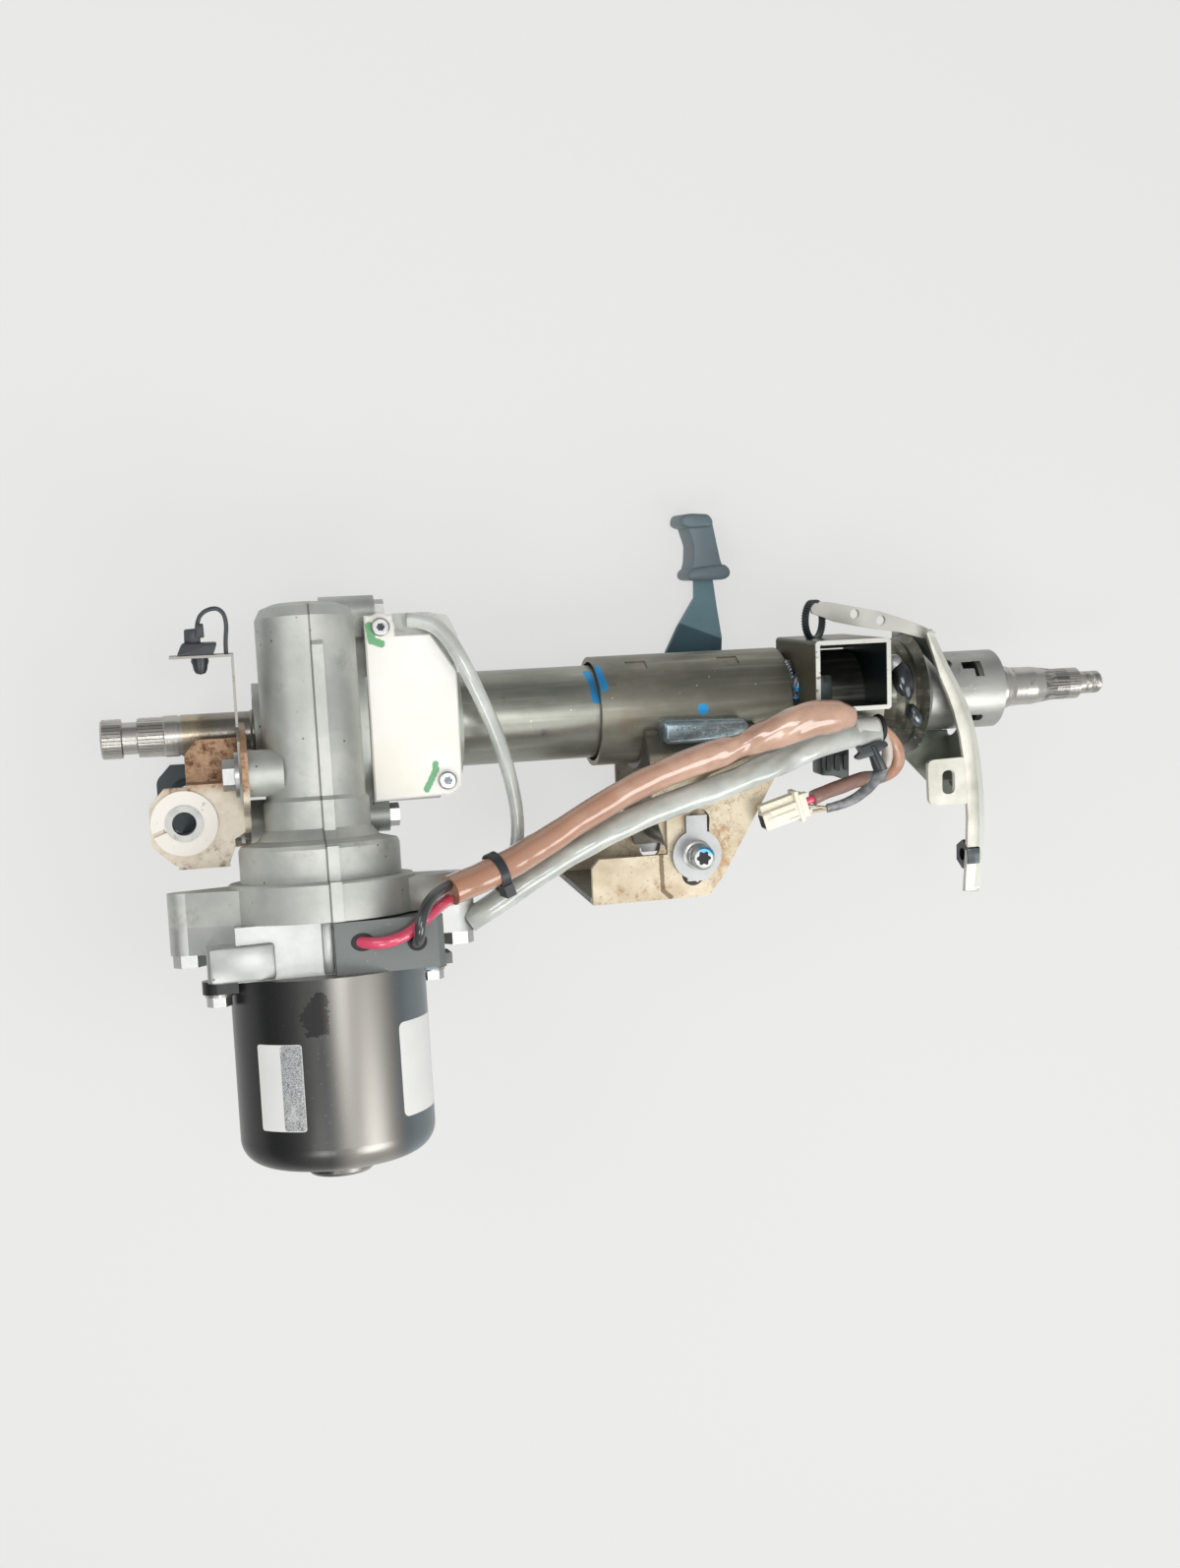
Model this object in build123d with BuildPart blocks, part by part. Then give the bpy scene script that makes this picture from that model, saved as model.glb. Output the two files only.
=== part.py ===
from build123d import *
import os
from math import atan, atan2, cos, degrees, hypot, pi, radians, sin, tan

os.makedirs("parts", exist_ok=True)

# Millimetres. The origin is the middle of the lower pivot, between the two ears of its bracket.
# X runs along the column to the steering wheel, Y up from the pivot to the column, Z along the pivot.
# Stations along the column are measured from the tip of the lower shaft.
tip_x = -38.2
column_y = 36.8
drive_tilt = 7.2

# Column tubes and shafts
inner_tube_radius = 24.3
inner_tube_wall = 2.3
outer_tube_radius = 28.7
outer_tube_bore = 26.1
outer_tube_start = 248
outer_tube_end = 351
upper_tube_bore = 24.6
upper_tube_end = 427
end_tube_radius = 21.5
end_tube_end = 477.7
serration_radius = 9.9
serration_count = 36
land_radius = 10.3
wheel_serration_radius = 8.75
wheel_thread_radius = 5.97
running_gap = 0.03

# Worm drive
worm_x = 100
worm_offset = 50
worm_starts = 2
wheel_teeth = 41
gear_module = 2
worm_pitch_radius = worm_offset - gear_module * wheel_teeth / 2
wheel_pitch_radius = gear_module * wheel_teeth / 2
addendum = 1.2
worm_lead = pi * gear_module * worm_starts
lead_angle = atan(worm_lead / (2 * pi * worm_pitch_radius))
pressure_slope = tan(radians(20))
thread_width = 2.7
tooth_width = 3.0
thread_length = 28

# Castings
casing_radius = 49
casing_bore = 44
casing_start = 80
casing_end = 125
joint_end = 136
worm_tube_radius = 23.5
ear_radius = 8
lug_reach = 63.5
lug_radius = 8.5
flange_radius = 44
flange_top = 73
adapter_top = 91
adapter_bottom = 116
plate_bottom = 122
cover_seat = 44
cover_thickness = 3
cover_roll = 0.8

# Motor
can_radius = 46
can_wall = 3
can_bottom = 205
can_boss_bottom = 213
can_boss_radius = 16
motor_shaft_radius = 5

# Lower bracket and pivot
sheet = 3
pivot_ear_z = 49
pivot_station = 38.2
pivot_hole_radius = 9.9
collar_radius = 8.7
collar_bore = 5.6
bracket_face = 66

# Tilt clamp
clamp_x = 291
clamp_y = -72.4
clamp_radius = 4.8
tilt_leg_z = 36.5
vehicle_leg_z = 40.5
slot_width = 12

# Motor wires. A route is a list of stations, heights above the column axis and z.
red_diameter = 5.6
red_route = [
    (113.2, -89.9, 98.5), (118.5, -90, 104.8), (127, -89.2, 107), (137, -86, 104.8),
    (146, -78.3, 103.2), (152, -76.4, 96), (156, -75.6, 89.9),
]
black_diameter = 5.2
black_route = [
    (138.6, -92.5, 97.5), (138.8, -91.5, 105.5), (139.3, -86.5, 111.8), (140.2, -79, 111.5),
    (144.5, -72.4, 106.4), (150.5, -69, 98.8), (156.2, -68.5, 91.2),
]

column_origin = Vector(tip_x, column_y, 0)
drive_up = Vector(0, cos(radians(drive_tilt)), -sin(radians(drive_tilt)))
drive_front = Vector(0, sin(radians(drive_tilt)), cos(radians(drive_tilt)))
worm_middle = column_origin + Vector(worm_x, 0, 0) + drive_front * worm_offset
column_axis = Axis(column_origin, (1, 0, 0))
worm_axis = Axis(worm_middle, drive_up)


def across(x):
    """Plane square to the column at station x; its own x is up and its y is towards the front."""
    return Plane(origin=column_origin + Vector(x, 0, 0), x_dir=(0, 1, 0), z_dir=(1, 0, 0))


def upright(z):
    """Plane along the column, facing front; its x is the station and its y the height above the axis."""
    return Plane(origin=column_origin + Vector(0, 0, z), x_dir=(1, 0, 0), z_dir=(0, 0, 1))


def drive_across(x):
    """As across, turned with the worm axis."""
    return Plane(origin=column_origin + Vector(x, 0, 0), x_dir=drive_up, z_dir=(1, 0, 0))


def drive_face(n):
    """Plane n in front of the column axis, along the worm axis."""
    return Plane(origin=column_origin + drive_front * n, x_dir=(1, 0, 0), z_dir=drive_front)


def drive_down(d):
    """Plane square to the worm axis, d below the column axis; its origin is on the worm axis."""
    return Plane(origin=worm_middle - drive_up * d, x_dir=(1, 0, 0), z_dir=drive_up * -1)


def shape(plane, points, corner=0):
    """Face inside a closed outline, with its corners rounded."""
    with BuildSketch(plane) as face:
        with BuildLine():
            Polyline(*points, close=True)
        make_face()
        if corner:
            fillet(face.vertices(), corner)
    return face.sketch


def slab(plane, points, depth, corner=0, mode=Mode.ADD):
    extrude(shape(plane, points, corner), amount=depth, mode=mode)


def disc(plane, radius, depth, at=(0, 0), mode=Mode.ADD):
    with BuildSketch(plane) as face:
        with Locations(at):
            Circle(radius)
    extrude(face.sketch, amount=depth, mode=mode)


def ring(plane, outer, inner, depth, at=(0, 0)):
    with BuildSketch(plane) as face:
        with Locations(at):
            Circle(outer)
            Circle(inner, mode=Mode.SUBTRACT)
    extrude(face.sketch, amount=depth)


def turned(plane, axis, points, mode=Mode.ADD):
    """Solid of revolution; the outline's points are in the plane."""
    revolve(shape(plane, points), axis=axis, mode=mode)


def on_worm(points):
    """Points given as radius and depth below the column axis, placed beside the worm axis."""
    return [(worm_x + radius, -depth) for radius, depth in points]


def bolt(plane, at, shank_radius, shank_length, head_flats, head_height, flange=0):
    """Hexagon bolt; the plane is the face under the head and points along the shank."""
    disc(plane, shank_radius, shank_length, at)
    with BuildSketch(plane) as head:
        with Locations(at):
            RegularPolygon(head_flats / 2, 6, major_radius=False)
    extrude(head.sketch, amount=-head_height)
    if flange:
        disc(plane, flange, -head_height / 4, at)


def bearing(plane, axis_x, inner, outer, width):
    """Plain bearing ring with the race gap shown on both faces."""
    race = (inner + outer) / 2
    gap = (outer - inner) / 6
    ring(plane, outer, inner, width, axis_x)
    for face, depth in ((plane, 0.8), (plane.offset(width), -0.8)):
        with BuildSketch(face) as groove:
            with Locations(axis_x):
                Circle(race + gap)
                Circle(race - gap, mode=Mode.SUBTRACT)
        extrude(groove.sketch, amount=depth, mode=Mode.SUBTRACT)


def lug(plane, reach, radius, root, depth):
    """Tapered lug along the plane's x, ending round at the bolt."""
    side = 1 if reach > 0 else -1
    near = side * 25
    slab(plane, [(reach, radius), (near, root), (near, -root), (reach, -radius)], depth)
    disc(plane, radius, depth, (reach, 0))


def joint_ears(x, depth):
    """Ears round the casing for the bolts of the joint between the two housings."""
    for height, out in housing_ears:
        reach = hypot(height, out)
        plane = drive_across(x) * Rotation(0, 0, degrees(atan2(out, height)))
        slab(plane, [(30, 12), (reach, ear_radius), (reach, -ear_radius), (30, -12)], depth)
        disc(plane, ear_radius, depth, (reach, 0))


def serrate(first, last, radius, depth, count):
    """Straight V grooves round a shaft between two stations."""
    half = pi * radius / count * 0.45
    groove = shape(across(first), [(radius - depth, 0), (radius + 1, half), (radius + 1, -half)])
    cutter = extrude(groove, amount=last - first, mode=Mode.PRIVATE)
    cuts = [cutter.rotate(column_axis, 360 * i / count) for i in range(count)]
    add(cuts, mode=Mode.SUBTRACT)


def corner_radii(points):
    """Radius of the largest arc that both runs at each corner leave room for."""
    radii = []
    for before, corner, after in zip(points, points[1:], points[2:]):
        run_in = corner - before
        run_out = after - corner
        half_turn = radians(run_in.get_angle(run_out)) / 2
        radii.append(0.45 * min(run_in.length, run_out.length) / tan(half_turn))
    return radii


def cord(name, stations, diameter):
    """Round cord along a route of stations, heights above the column axis and z."""
    points = [in_place(station) for station in stations]
    radii = corner_radii(points)
    with BuildLine():
        path = FilletPolyline(*points, radius=radii)
    with BuildSketch(Plane(origin=path @ 0, z_dir=path % 0)) as section:
        Circle(diameter / 2)
    swept = sweep(section.sketch, path=path)
    expected = pi * diameter**2 / 4 * path.length
    bends = " ".join(f"{radius:.0f}" for radius in radii)
    print(f"{name}: length {path.length:.0f}, volume {swept.volume / expected:.3f}, bends {bends}")


def in_place(station):
    """Point given as a station, a height above the column axis and z."""
    return Vector(tip_x + station[0], column_y + station[1], station[2])


def exit_plane(route):
    """Plane at the start of a wire, facing along it."""
    return Plane(origin=in_place(route[0]), z_dir=in_place(route[1]) - in_place(route[0]))


def save(piece, name):
    piece.label = name
    export_step(piece, f"parts/{name}.step")


# Lower shaft: two serrated bands, the pinch-bolt neck between them, a plain land, then the seats
# for the seal, the bearings and the wheel. It is bored for the torsion bar and the input shaft.
bar_radius = 4
wheel_seat_radius = 15
front_seat_radius = 11
rear_seat_radius = 12.5
spigot_radius = 8
with BuildPart() as output_shaft:
    turned(upright(0), column_axis, [
        (0, 0), (0, 9.1), (0.8, serration_radius), (9.8, serration_radius), (10.4, 8),
        (17.2, 8), (17.8, serration_radius), (30.1, serration_radius), (30.5, land_radius),
        (37.2, land_radius), (37.2, 9.8), (38.2, 9.8), (38.2, land_radius), (72, land_radius),
        (73, front_seat_radius), (90, front_seat_radius), (90, wheel_seat_radius),
        (110.5, wheel_seat_radius), (111.5, rear_seat_radius), (122, rear_seat_radius),
        (122, 11.5), (124, 11.5), (124, 0),
    ])
    disc(across(124), spigot_radius + 0.05, -16, mode=Mode.SUBTRACT)
    disc(across(108), bar_radius, -58, mode=Mode.SUBTRACT)
    serrate(0.8, 9.8, serration_radius, 0.7, serration_count)
    serrate(17.8, 30.1, serration_radius, 0.7, serration_count)
save(output_shaft.part, "output_shaft")

with BuildPart() as torsion_bar:
    turned(upright(0), column_axis, [
        (50, 0), (50, bar_radius), (68, bar_radius), (72, 3), (170, 3), (174, bar_radius),
        (190, bar_radius), (190, 0),
    ])
save(torsion_bar.part, "torsion_bar")

with BuildPart() as input_shaft:
    turned(upright(0), column_axis, [
        (112, 0), (112, spigot_radius), (125, spigot_radius), (125, 12), (150, 12),
        (152, spigot_radius), (380, spigot_radius), (380, 0),
    ])
    disc(across(112), bar_radius + 0.05, 80, mode=Mode.SUBTRACT)
    with BuildSketch(across(127)) as sensing_slots:
        with PolarLocations(12, 9):
            Rectangle(2, 3)
    extrude(sensing_slots.sketch, amount=20, mode=Mode.SUBTRACT)
save(input_shaft.part, "input_shaft")

# Upper shaft: a tube that slides on the input shaft, then the taper, serration and thread that
# take the steering wheel.
with BuildPart() as upper_shaft:
    turned(upright(0), column_axis, [
        (260, 0), (260, 11), (478, 11), (480.5, 12), (484, 12.2), (487, 11.8), (490, 10.9),
        (497, 10.6), (503, 10.6), (515, 8.9), (516, wheel_serration_radius),
        (531, wheel_serration_radius), (531.5, 6.5), (535, 6.5), (535, wheel_thread_radius),
        (545, wheel_thread_radius), (546, 5), (546, 0),
    ])
    disc(across(260), spigot_radius + 0.05, 170, mode=Mode.SUBTRACT)
    serrate(516, 531.5, wheel_serration_radius, 0.6, serration_count)
save(upper_shaft.part, "upper_shaft")

# Worm wheel: a steel hub and a resin rim whose teeth follow the worm's lead.
wheel_start = worm_x - 9
wheel_end = worm_x + 9
rim_radius = 33


def wheel_outline(x):
    """Tooth outline of the wheel at station x, a gap facing the worm at the middle of its width."""
    twist = degrees((x - worm_x) * tan(lead_angle) / wheel_pitch_radius)
    root = worm_offset - worm_pitch_radius - addendum - 0.5
    tip = wheel_pitch_radius + addendum
    points = []
    for tooth in range(wheel_teeth):
        middle = 90 + twist + (tooth + 0.5) * 360 / wheel_teeth
        for radius, side in ((root, -1), (tip, -1), (tip, 1), (root, 1)):
            half = tooth_width / 2 - (radius - wheel_pitch_radius) * pressure_slope
            angle = radians(middle) + side * half / radius
            points.append((radius * cos(angle), radius * sin(angle)))
    return shape(drive_across(x), points)


with BuildPart() as wheel_gear:
    loft([wheel_outline(x) for x in (wheel_start, worm_x, wheel_end)], ruled=True)
    disc(drive_across(wheel_start), rim_radius, wheel_end - wheel_start, mode=Mode.SUBTRACT)
save(wheel_gear.part, "wheel_gear")

with BuildPart() as wheel_hub:
    turned(upright(0), column_axis, [
        (wheel_start, wheel_seat_radius), (wheel_start, 20), (wheel_start + 5, 22),
        (wheel_start + 5, 28), (wheel_start, 29), (wheel_start, rim_radius), (wheel_end, rim_radius),
        (wheel_end, 29), (wheel_end - 5, 28), (wheel_end - 5, 22), (wheel_end, 20),
        (wheel_end, wheel_seat_radius),
    ])
save(wheel_hub.part, "wheel_hub")

# Worm shaft: two threads between its journals.
worm_root = worm_pitch_radius - addendum - 0.4
journal_radius = 6
half_thread = degrees(thread_length / worm_lead * pi)
thread_start = Plane(
    origin=worm_middle - drive_up * (thread_length / 2), x_dir=drive_front * -1, z_dir=drive_up
)


def thread_section(path):
    """Trapezium across the thread, its narrow side outwards."""
    start = path @ 0
    outwards = (start - thread_start.origin).normalized()
    sides = []
    for height in (worm_root - 0.3 - worm_pitch_radius, addendum):
        sides.append((height, (thread_width / 2 - height * pressure_slope) * cos(lead_angle)))
    points = sides + [(height, -half) for height, half in reversed(sides)]
    return shape(Plane(origin=start, x_dir=outwards, z_dir=path % 0), points)


with BuildPart() as worm_shaft:
    turned(drive_face(worm_offset), worm_axis, on_worm([
        (0, -47), (journal_radius, -47), (journal_radius, -37), (worm_root, -34), (worm_root, 26),
        (journal_radius + 2, 27), (journal_radius + 2, 29.5), (journal_radius, 29.5),
        (journal_radius, 68), (0, 68),
    ]))
    for start in range(worm_starts):
        turn = start * 360 / worm_starts - half_thread
        helix = Helix(worm_lead, thread_length, worm_pitch_radius, mode=Mode.PRIVATE)
        thread = thread_start * Rotation(0, 0, turn) * helix
        sweep(thread_section(thread), path=thread, is_frenet=True)
save(worm_shaft.part, "worm_shaft")

coupling_top = 54
coupling_bottom = 84
with BuildPart() as worm_coupling:
    disc(drive_down(coupling_top), 14, coupling_bottom - coupling_top)
    chamfer(worm_coupling.edges().filter_by(GeomType.CIRCLE), 1)
    disc(drive_down(coupling_top), journal_radius, 14, mode=Mode.SUBTRACT)
    disc(drive_down(coupling_bottom), motor_shaft_radius, -14, mode=Mode.SUBTRACT)
    with BuildSketch(drive_down(68)) as dog_slots:
        with PolarLocations(13, 6):
            Rectangle(5, 3)
    extrude(dog_slots.sketch, amount=3, mode=Mode.SUBTRACT)
save(worm_coupling.part, "worm_coupling")

# Motor armature with its end windings and commutator, on its shaft.
core_radius = 32
core_top = 135
core_bottom = 185
with BuildPart() as armature:
    turned(drive_face(worm_offset), worm_axis, on_worm([
        (0, 99), (14, 99), (14, 117), (17, 118), (17, 121), (9, 122), (9, 126), (24, 127), (27, 134),
        (27, core_top), (core_radius, core_top), (core_radius, core_bottom), (27, core_bottom),
        (26, 191), (20, 194), (0, 194),
    ]))
    with BuildSketch(drive_down(core_top)) as winding_slots:
        with PolarLocations(core_radius, 12):
            Rectangle(9, 3.2)
    extrude(winding_slots.sketch, amount=core_bottom - core_top, mode=Mode.SUBTRACT)
    disc(drive_down(99), motor_shaft_radius, 95, mode=Mode.SUBTRACT)
save(armature.part, "armature")

with BuildPart() as armature_shaft:
    turned(drive_face(worm_offset), worm_axis, on_worm([
        (0, 71), (motor_shaft_radius, 71), (motor_shaft_radius, 199), (4, 200), (4, 209), (0, 209),
    ]))
save(armature_shaft.part, "armature_shaft")

# Gear housing casting: wheel casing, worm tube with its parting rib, step, collar and flange.
ear_start = 109
housing_ears = [(56, 18), (-46, 28), (29, -50), (-29, -50)]
left_boss_bolts = [(-14, 62), (-14, -26), (-46, 0)]
rib_left = 101
rib_width = 5.5
front_bearing_radius = 20
seal_radius = 17
with BuildPart() as gear_housing:
    disc(drive_across(casing_start), casing_radius, casing_end - casing_start)
    fillet(gear_housing.edges().group_by(Axis.X)[0], 5)
    disc(drive_across(74), 24, 10)
    with BuildSketch(drive_face(worm_offset)) as tube_profile:
        with BuildLine():
            Polyline(
                (worm_x, 57), (worm_x + 16, 57), (worm_x + 21, 55), (worm_x + worm_tube_radius, 50),
                (worm_x + worm_tube_radius, -34), (worm_x + 25, -36), (worm_x + 25, -49),
                (worm_x + 29, -54), (worm_x + 37, -56), (worm_x + 38, -58), (worm_x + 38, -flange_top),
                (worm_x + 43, -flange_top), (worm_x + flange_radius, -flange_top - 1),
                (worm_x + flange_radius, -adapter_top), (worm_x, -adapter_top), close=True,
            )
        make_face()
    revolve(axis=worm_axis)
    slab(drive_across(rib_left), [
        (38, 60), (38, 73.6), (36, 74.6), (-34, 74.6), (-36, 76), (-50, 76), (-55, 80), (-57, 89),
        (-flange_top, 89), (-flange_top, 95), (-adapter_top, 95), (-adapter_top, 60),
    ], rib_width)
    lug(drive_down(75), -lug_reach, lug_radius, 27, adapter_top - 75)
    lug(drive_down(75), lug_reach, lug_radius, 27, adapter_top - 75)
    joint_ears(ear_start, casing_end - ear_start)
    for place in housing_ears:
        disc(drive_across(ear_start), 3, casing_end - ear_start, place, Mode.SUBTRACT)
    for height, out in left_boss_bolts:
        disc(across(bracket_face + sheet), 11, 16, (height, out))
    disc(drive_across(90), casing_bore, casing_end - 90, mode=Mode.SUBTRACT)
    disc(drive_across(74), seal_radius, 5, mode=Mode.SUBTRACT)
    disc(drive_across(79), front_bearing_radius, 11, mode=Mode.SUBTRACT)
    turned(drive_face(worm_offset), worm_axis, on_worm([
        (0, -49), (8, -49), (8, -47), (11, -47), (11, -38), (18, -36), (18, 27), (13, 30),
        (13, 41), (20, 43), (20, adapter_top), (0, adapter_top),
    ]), Mode.SUBTRACT)
    for reach in (-lug_reach, lug_reach):
        disc(drive_down(75), 4, adapter_top - 75, (reach, 0), Mode.SUBTRACT)
    for height, out in left_boss_bolts:
        disc(across(bracket_face + sheet), 4, 14, (height, out), Mode.SUBTRACT)
save(gear_housing.part, "gear_housing")

# Sensor housing casting: joint flange, round body, the box under the cover, and the tube socket.
socket_start = 152
socket_end = 176
cover_screw_places = [(136, 45), (163.6, -31)]
with BuildPart() as sensor_housing:
    disc(drive_across(111), 26, 14)
    disc(drive_across(118), casing_bore - 0.05, 7)
    disc(drive_across(casing_end), casing_radius, joint_end - casing_end)
    joint_ears(casing_end, joint_end - casing_end)
    disc(drive_across(joint_end), 40, 29)
    slab(drive_face(4), [
        (129, -38), (158, -38), (171, -34), (171, 21), (159, 40), (143, 43), (129, 43),
    ], cover_seat - 4, corner=3)
    disc(drive_face(26), 7, cover_seat - 26, cover_screw_places[0])
    disc(drive_across(160), 31, socket_end - 160)
    slab(drive_face(26), [(139, 34), (172, 24), (174, 40), (170, 50), (160, 52), (141, 52)], 16, corner=3)
    disc(drive_across(111), 21, 11, mode=Mode.SUBTRACT)
    disc(drive_across(122), 16.5, 6, mode=Mode.SUBTRACT)
    disc(drive_across(128), 28, 22, mode=Mode.SUBTRACT)
    disc(drive_across(150), 20, 2, mode=Mode.SUBTRACT)
    disc(drive_across(socket_start), inner_tube_radius, socket_end - socket_start, mode=Mode.SUBTRACT)
    slab(drive_face(24), [
        (138, -33), (154, -33), (154, -22), (167, -22), (167, 18), (157, 36), (138, 36),
    ], cover_seat - 24, mode=Mode.SUBTRACT)
    slab(drive_face(cover_seat), [(127.5, -42), (175, -42), (175, 54), (127.5, 54)], 12, mode=Mode.SUBTRACT)
    for place in cover_screw_places:
        disc(drive_face(cover_seat), 2, -12, place, Mode.SUBTRACT)
    for place in housing_ears:
        disc(drive_across(casing_end), 3, joint_end - casing_end, place, Mode.SUBTRACT)
save(sensor_housing.part, "sensor_housing")

with BuildPart() as sensor_cover:
    with BuildSketch(drive_face(cover_seat)) as cover_plan:
        with BuildLine():
            Polyline((128, -39), (160, -38), (171, -34), (172, 22), (160, 41), (143, 41), (142, 51),
                     (128.5, 51), close=True)
        make_face()
        for place in cover_screw_places:
            with Locations(place):
                Circle(7)
    extrude(amount=cover_thickness)
    cover_front = sensor_cover.faces().sort_by(Axis((0, 0, 0), drive_front))[-1]
    chamfer(cover_front.outer_wire().edges(), cover_roll)
    for place in cover_screw_places:
        disc(drive_face(cover_seat), 2, cover_thickness, place, Mode.SUBTRACT)
save(sensor_cover.part, "sensor_cover")

with BuildPart() as cover_screws:
    for place in cover_screw_places:
        disc(drive_face(cover_seat - 11), 2, cover_thickness + 11, place)
        disc(drive_face(cover_seat + cover_thickness), 4.5, 3.2, place)
    heads = cover_screws.faces().group_by(Axis((0, 0, 0), drive_front))[-1]
    fillet(heads.edges(), 1)
    for place in cover_screw_places:
        with BuildSketch(drive_face(cover_seat + cover_thickness + 3.2)) as key:
            with Locations(place):
                RegularPolygon(2.2, 6)
        extrude(key.sketch, amount=-2, mode=Mode.SUBTRACT)
save(cover_screws.part, "cover_screws")

with BuildPart() as housing_bolts:
    for place in housing_ears:
        bolt(drive_across(joint_end) * Rotation(180, 0, 0), (place[0], -place[1]), 3, 25, 10, 5)
save(housing_bolts.part, "housing_bolts")

# Torque sensor: coil round the slotted shaft, and its board under the cover.
with BuildPart() as sensor_coil:
    turned(upright(0), column_axis, [
        (129, 13), (129, 28), (149, 28), (149, 13), (146, 13), (146, 16), (141, 16), (141, 13),
        (137, 13), (137, 16), (132, 16), (132, 13),
    ])
save(sensor_coil.part, "sensor_coil")

with BuildPart() as sensor_board:
    slab(drive_face(36), [
        (138.3, -32), (153.7, -32), (153.7, -21.7), (166.7, -21.7), (166.7, 17), (156, 35), (138.3, 35),
    ], 1.6)
    with BuildSketch(drive_face(37.6)) as chips:
        with Locations((147, 14)):
            Rectangle(10, 14)
        with Locations((148, -14)):
            Rectangle(8, 8)
        with Locations((160, 4)):
            Rectangle(7, 12)
    extrude(chips.sketch, amount=2.5)
save(sensor_board.part, "sensor_board")

# Motor adapter: flat front, cut away on the right for the terminal block.
adapter_front = 31
motor_bolt_places = [(-51, 12.5), (51, -12.5)]
block_left = 102
block_back = 60
with BuildPart() as motor_adapter:
    with BuildSketch(drive_down(adapter_top)) as adapter_plan:
        Circle(flange_radius)
        with Locations((block_left - worm_x, adapter_front)):
            Rectangle(100, 40, align=(Align.CENTER, Align.MIN), mode=Mode.SUBTRACT)
        with Locations((block_left - worm_x, 0)):
            Rectangle(44, adapter_front, align=(Align.MAX, Align.MIN))
        with Locations((block_left - worm_x, block_back - worm_offset)):
            Rectangle(60, 60, align=(Align.MIN, Align.MIN), mode=Mode.SUBTRACT)
    extrude(amount=adapter_bottom - adapter_top)
    lug(drive_down(adapter_top), -lug_reach, lug_radius, 27, 13)
    lug(drive_down(adapter_top), lug_reach, lug_radius, 8, 13)
    slab(drive_down(99.6), [(-55.5, 5), (-34, 5), (-34, 25), (-55.5, 25)], adapter_bottom - 99.6, corner=3)
    slab(drive_down(99.6), [(38, -24), (55.5, -24), (55.5, -4), (38, -4)], adapter_bottom - 99.6, corner=3)
    disc(drive_down(96), 30, adapter_bottom - 96, mode=Mode.SUBTRACT)
    disc(drive_down(86), 15, 6)
    disc(drive_down(86), 11, 10, mode=Mode.SUBTRACT)
    for reach in (-lug_reach, lug_reach):
        disc(drive_down(adapter_top), 4, 13, (reach, 0), Mode.SUBTRACT)
    for place in motor_bolt_places:
        disc(drive_down(102), 3, adapter_bottom - 102, place, Mode.SUBTRACT)
save(motor_adapter.part, "motor_adapter")

with BuildPart() as terminal_block:
    slab(drive_down(92), [(2, 10), (50, 10), (52, 14), (52, 36), (49, 38.5), (2, 38.5)], adapter_bottom - 92)
    slab(drive_down(111), [(50, 12), (56, 12), (56, 30), (50, 30)], 5)
    disc(drive_down(96), 30, adapter_bottom - 96, mode=Mode.SUBTRACT)
    disc(drive_down(92), 12, 4, mode=Mode.SUBTRACT)
    for route, diameter in ((red_route, red_diameter), (black_route, black_diameter)):
        disc(exit_plane(route), diameter / 2 + 0.5, 14, mode=Mode.SUBTRACT)
save(terminal_block.part, "terminal_block")

with BuildPart() as motor_plate:
    with BuildSketch(drive_down(adapter_bottom)) as plate_plan:
        Circle(can_radius + 0.5)
        for place in motor_bolt_places:
            with Locations(place):
                Circle(7.5)
            with Locations((place[0] * 0.8, place[1] * 0.8)):
                Rectangle(22, 20)
        Circle(30, mode=Mode.SUBTRACT)
        for place in motor_bolt_places:
            with Locations(place):
                Circle(3, mode=Mode.SUBTRACT)
    extrude(amount=plate_bottom - adapter_bottom)
save(motor_plate.part, "motor_plate")

with BuildPart() as motor_can:
    with BuildSketch(drive_face(worm_offset)) as can_profile:
        with BuildLine():
            Line((worm_x, -plate_bottom), (worm_x + can_radius, -plate_bottom))
            Line((worm_x + can_radius, -plate_bottom), (worm_x + can_radius, -can_bottom + 12))
            RadiusArc((worm_x + can_radius, -can_bottom + 12), (worm_x + can_radius - 12, -can_bottom), 12)
            Polyline(
                (worm_x + can_radius - 12, -can_bottom), (worm_x + can_boss_radius + 2, -can_bottom),
                (worm_x + can_boss_radius, -can_bottom - 2),
                (worm_x + can_boss_radius, -can_boss_bottom + 1.5),
                (worm_x + can_boss_radius - 1.5, -can_boss_bottom), (worm_x, -can_boss_bottom),
                (worm_x, -plate_bottom),
            )
        make_face()
    revolve(axis=worm_axis)
    turned(drive_face(worm_offset), worm_axis, on_worm([
        (0, plate_bottom), (can_radius - can_wall, plate_bottom), (can_radius - can_wall, 193),
        (can_radius - 9, 201), (9, 201), (9, 210), (0, 210),
    ]), Mode.SUBTRACT)
save(motor_can.part, "motor_can")

with BuildPart() as motor_magnets:
    with BuildSketch(drive_down(130)) as magnet_plan:
        Circle(can_radius - can_wall)
        Circle(core_radius + 1.5, mode=Mode.SUBTRACT)
        Rectangle(16, 100, mode=Mode.SUBTRACT)
    extrude(amount=60)
save(motor_magnets.part, "motor_magnets")

with BuildPart() as brush_holder:
    ring(drive_down(112), 29.9, 18.5, 4)
    for side in (-1, 1):
        with BuildSketch(drive_down(101)) as brush_box:
            with Locations((side * 20.5, 0)):
                Rectangle(12, 9)
        extrude(brush_box.sketch, amount=12)
save(brush_holder.part, "brush_holder")

with BuildPart() as drive_bolts:
    for reach in (-lug_reach, lug_reach):
        bolt(drive_down(adapter_top + 13) * Rotation(180, 0, 0), (reach, 0), 4, 29, 13, 6)
    for x, out in motor_bolt_places:
        bolt(drive_down(plate_bottom) * Rotation(180, 0, 0), (x, -out), 3, 20, 10, 6, 6.4)
save(drive_bolts.part, "drive_bolts")

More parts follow.
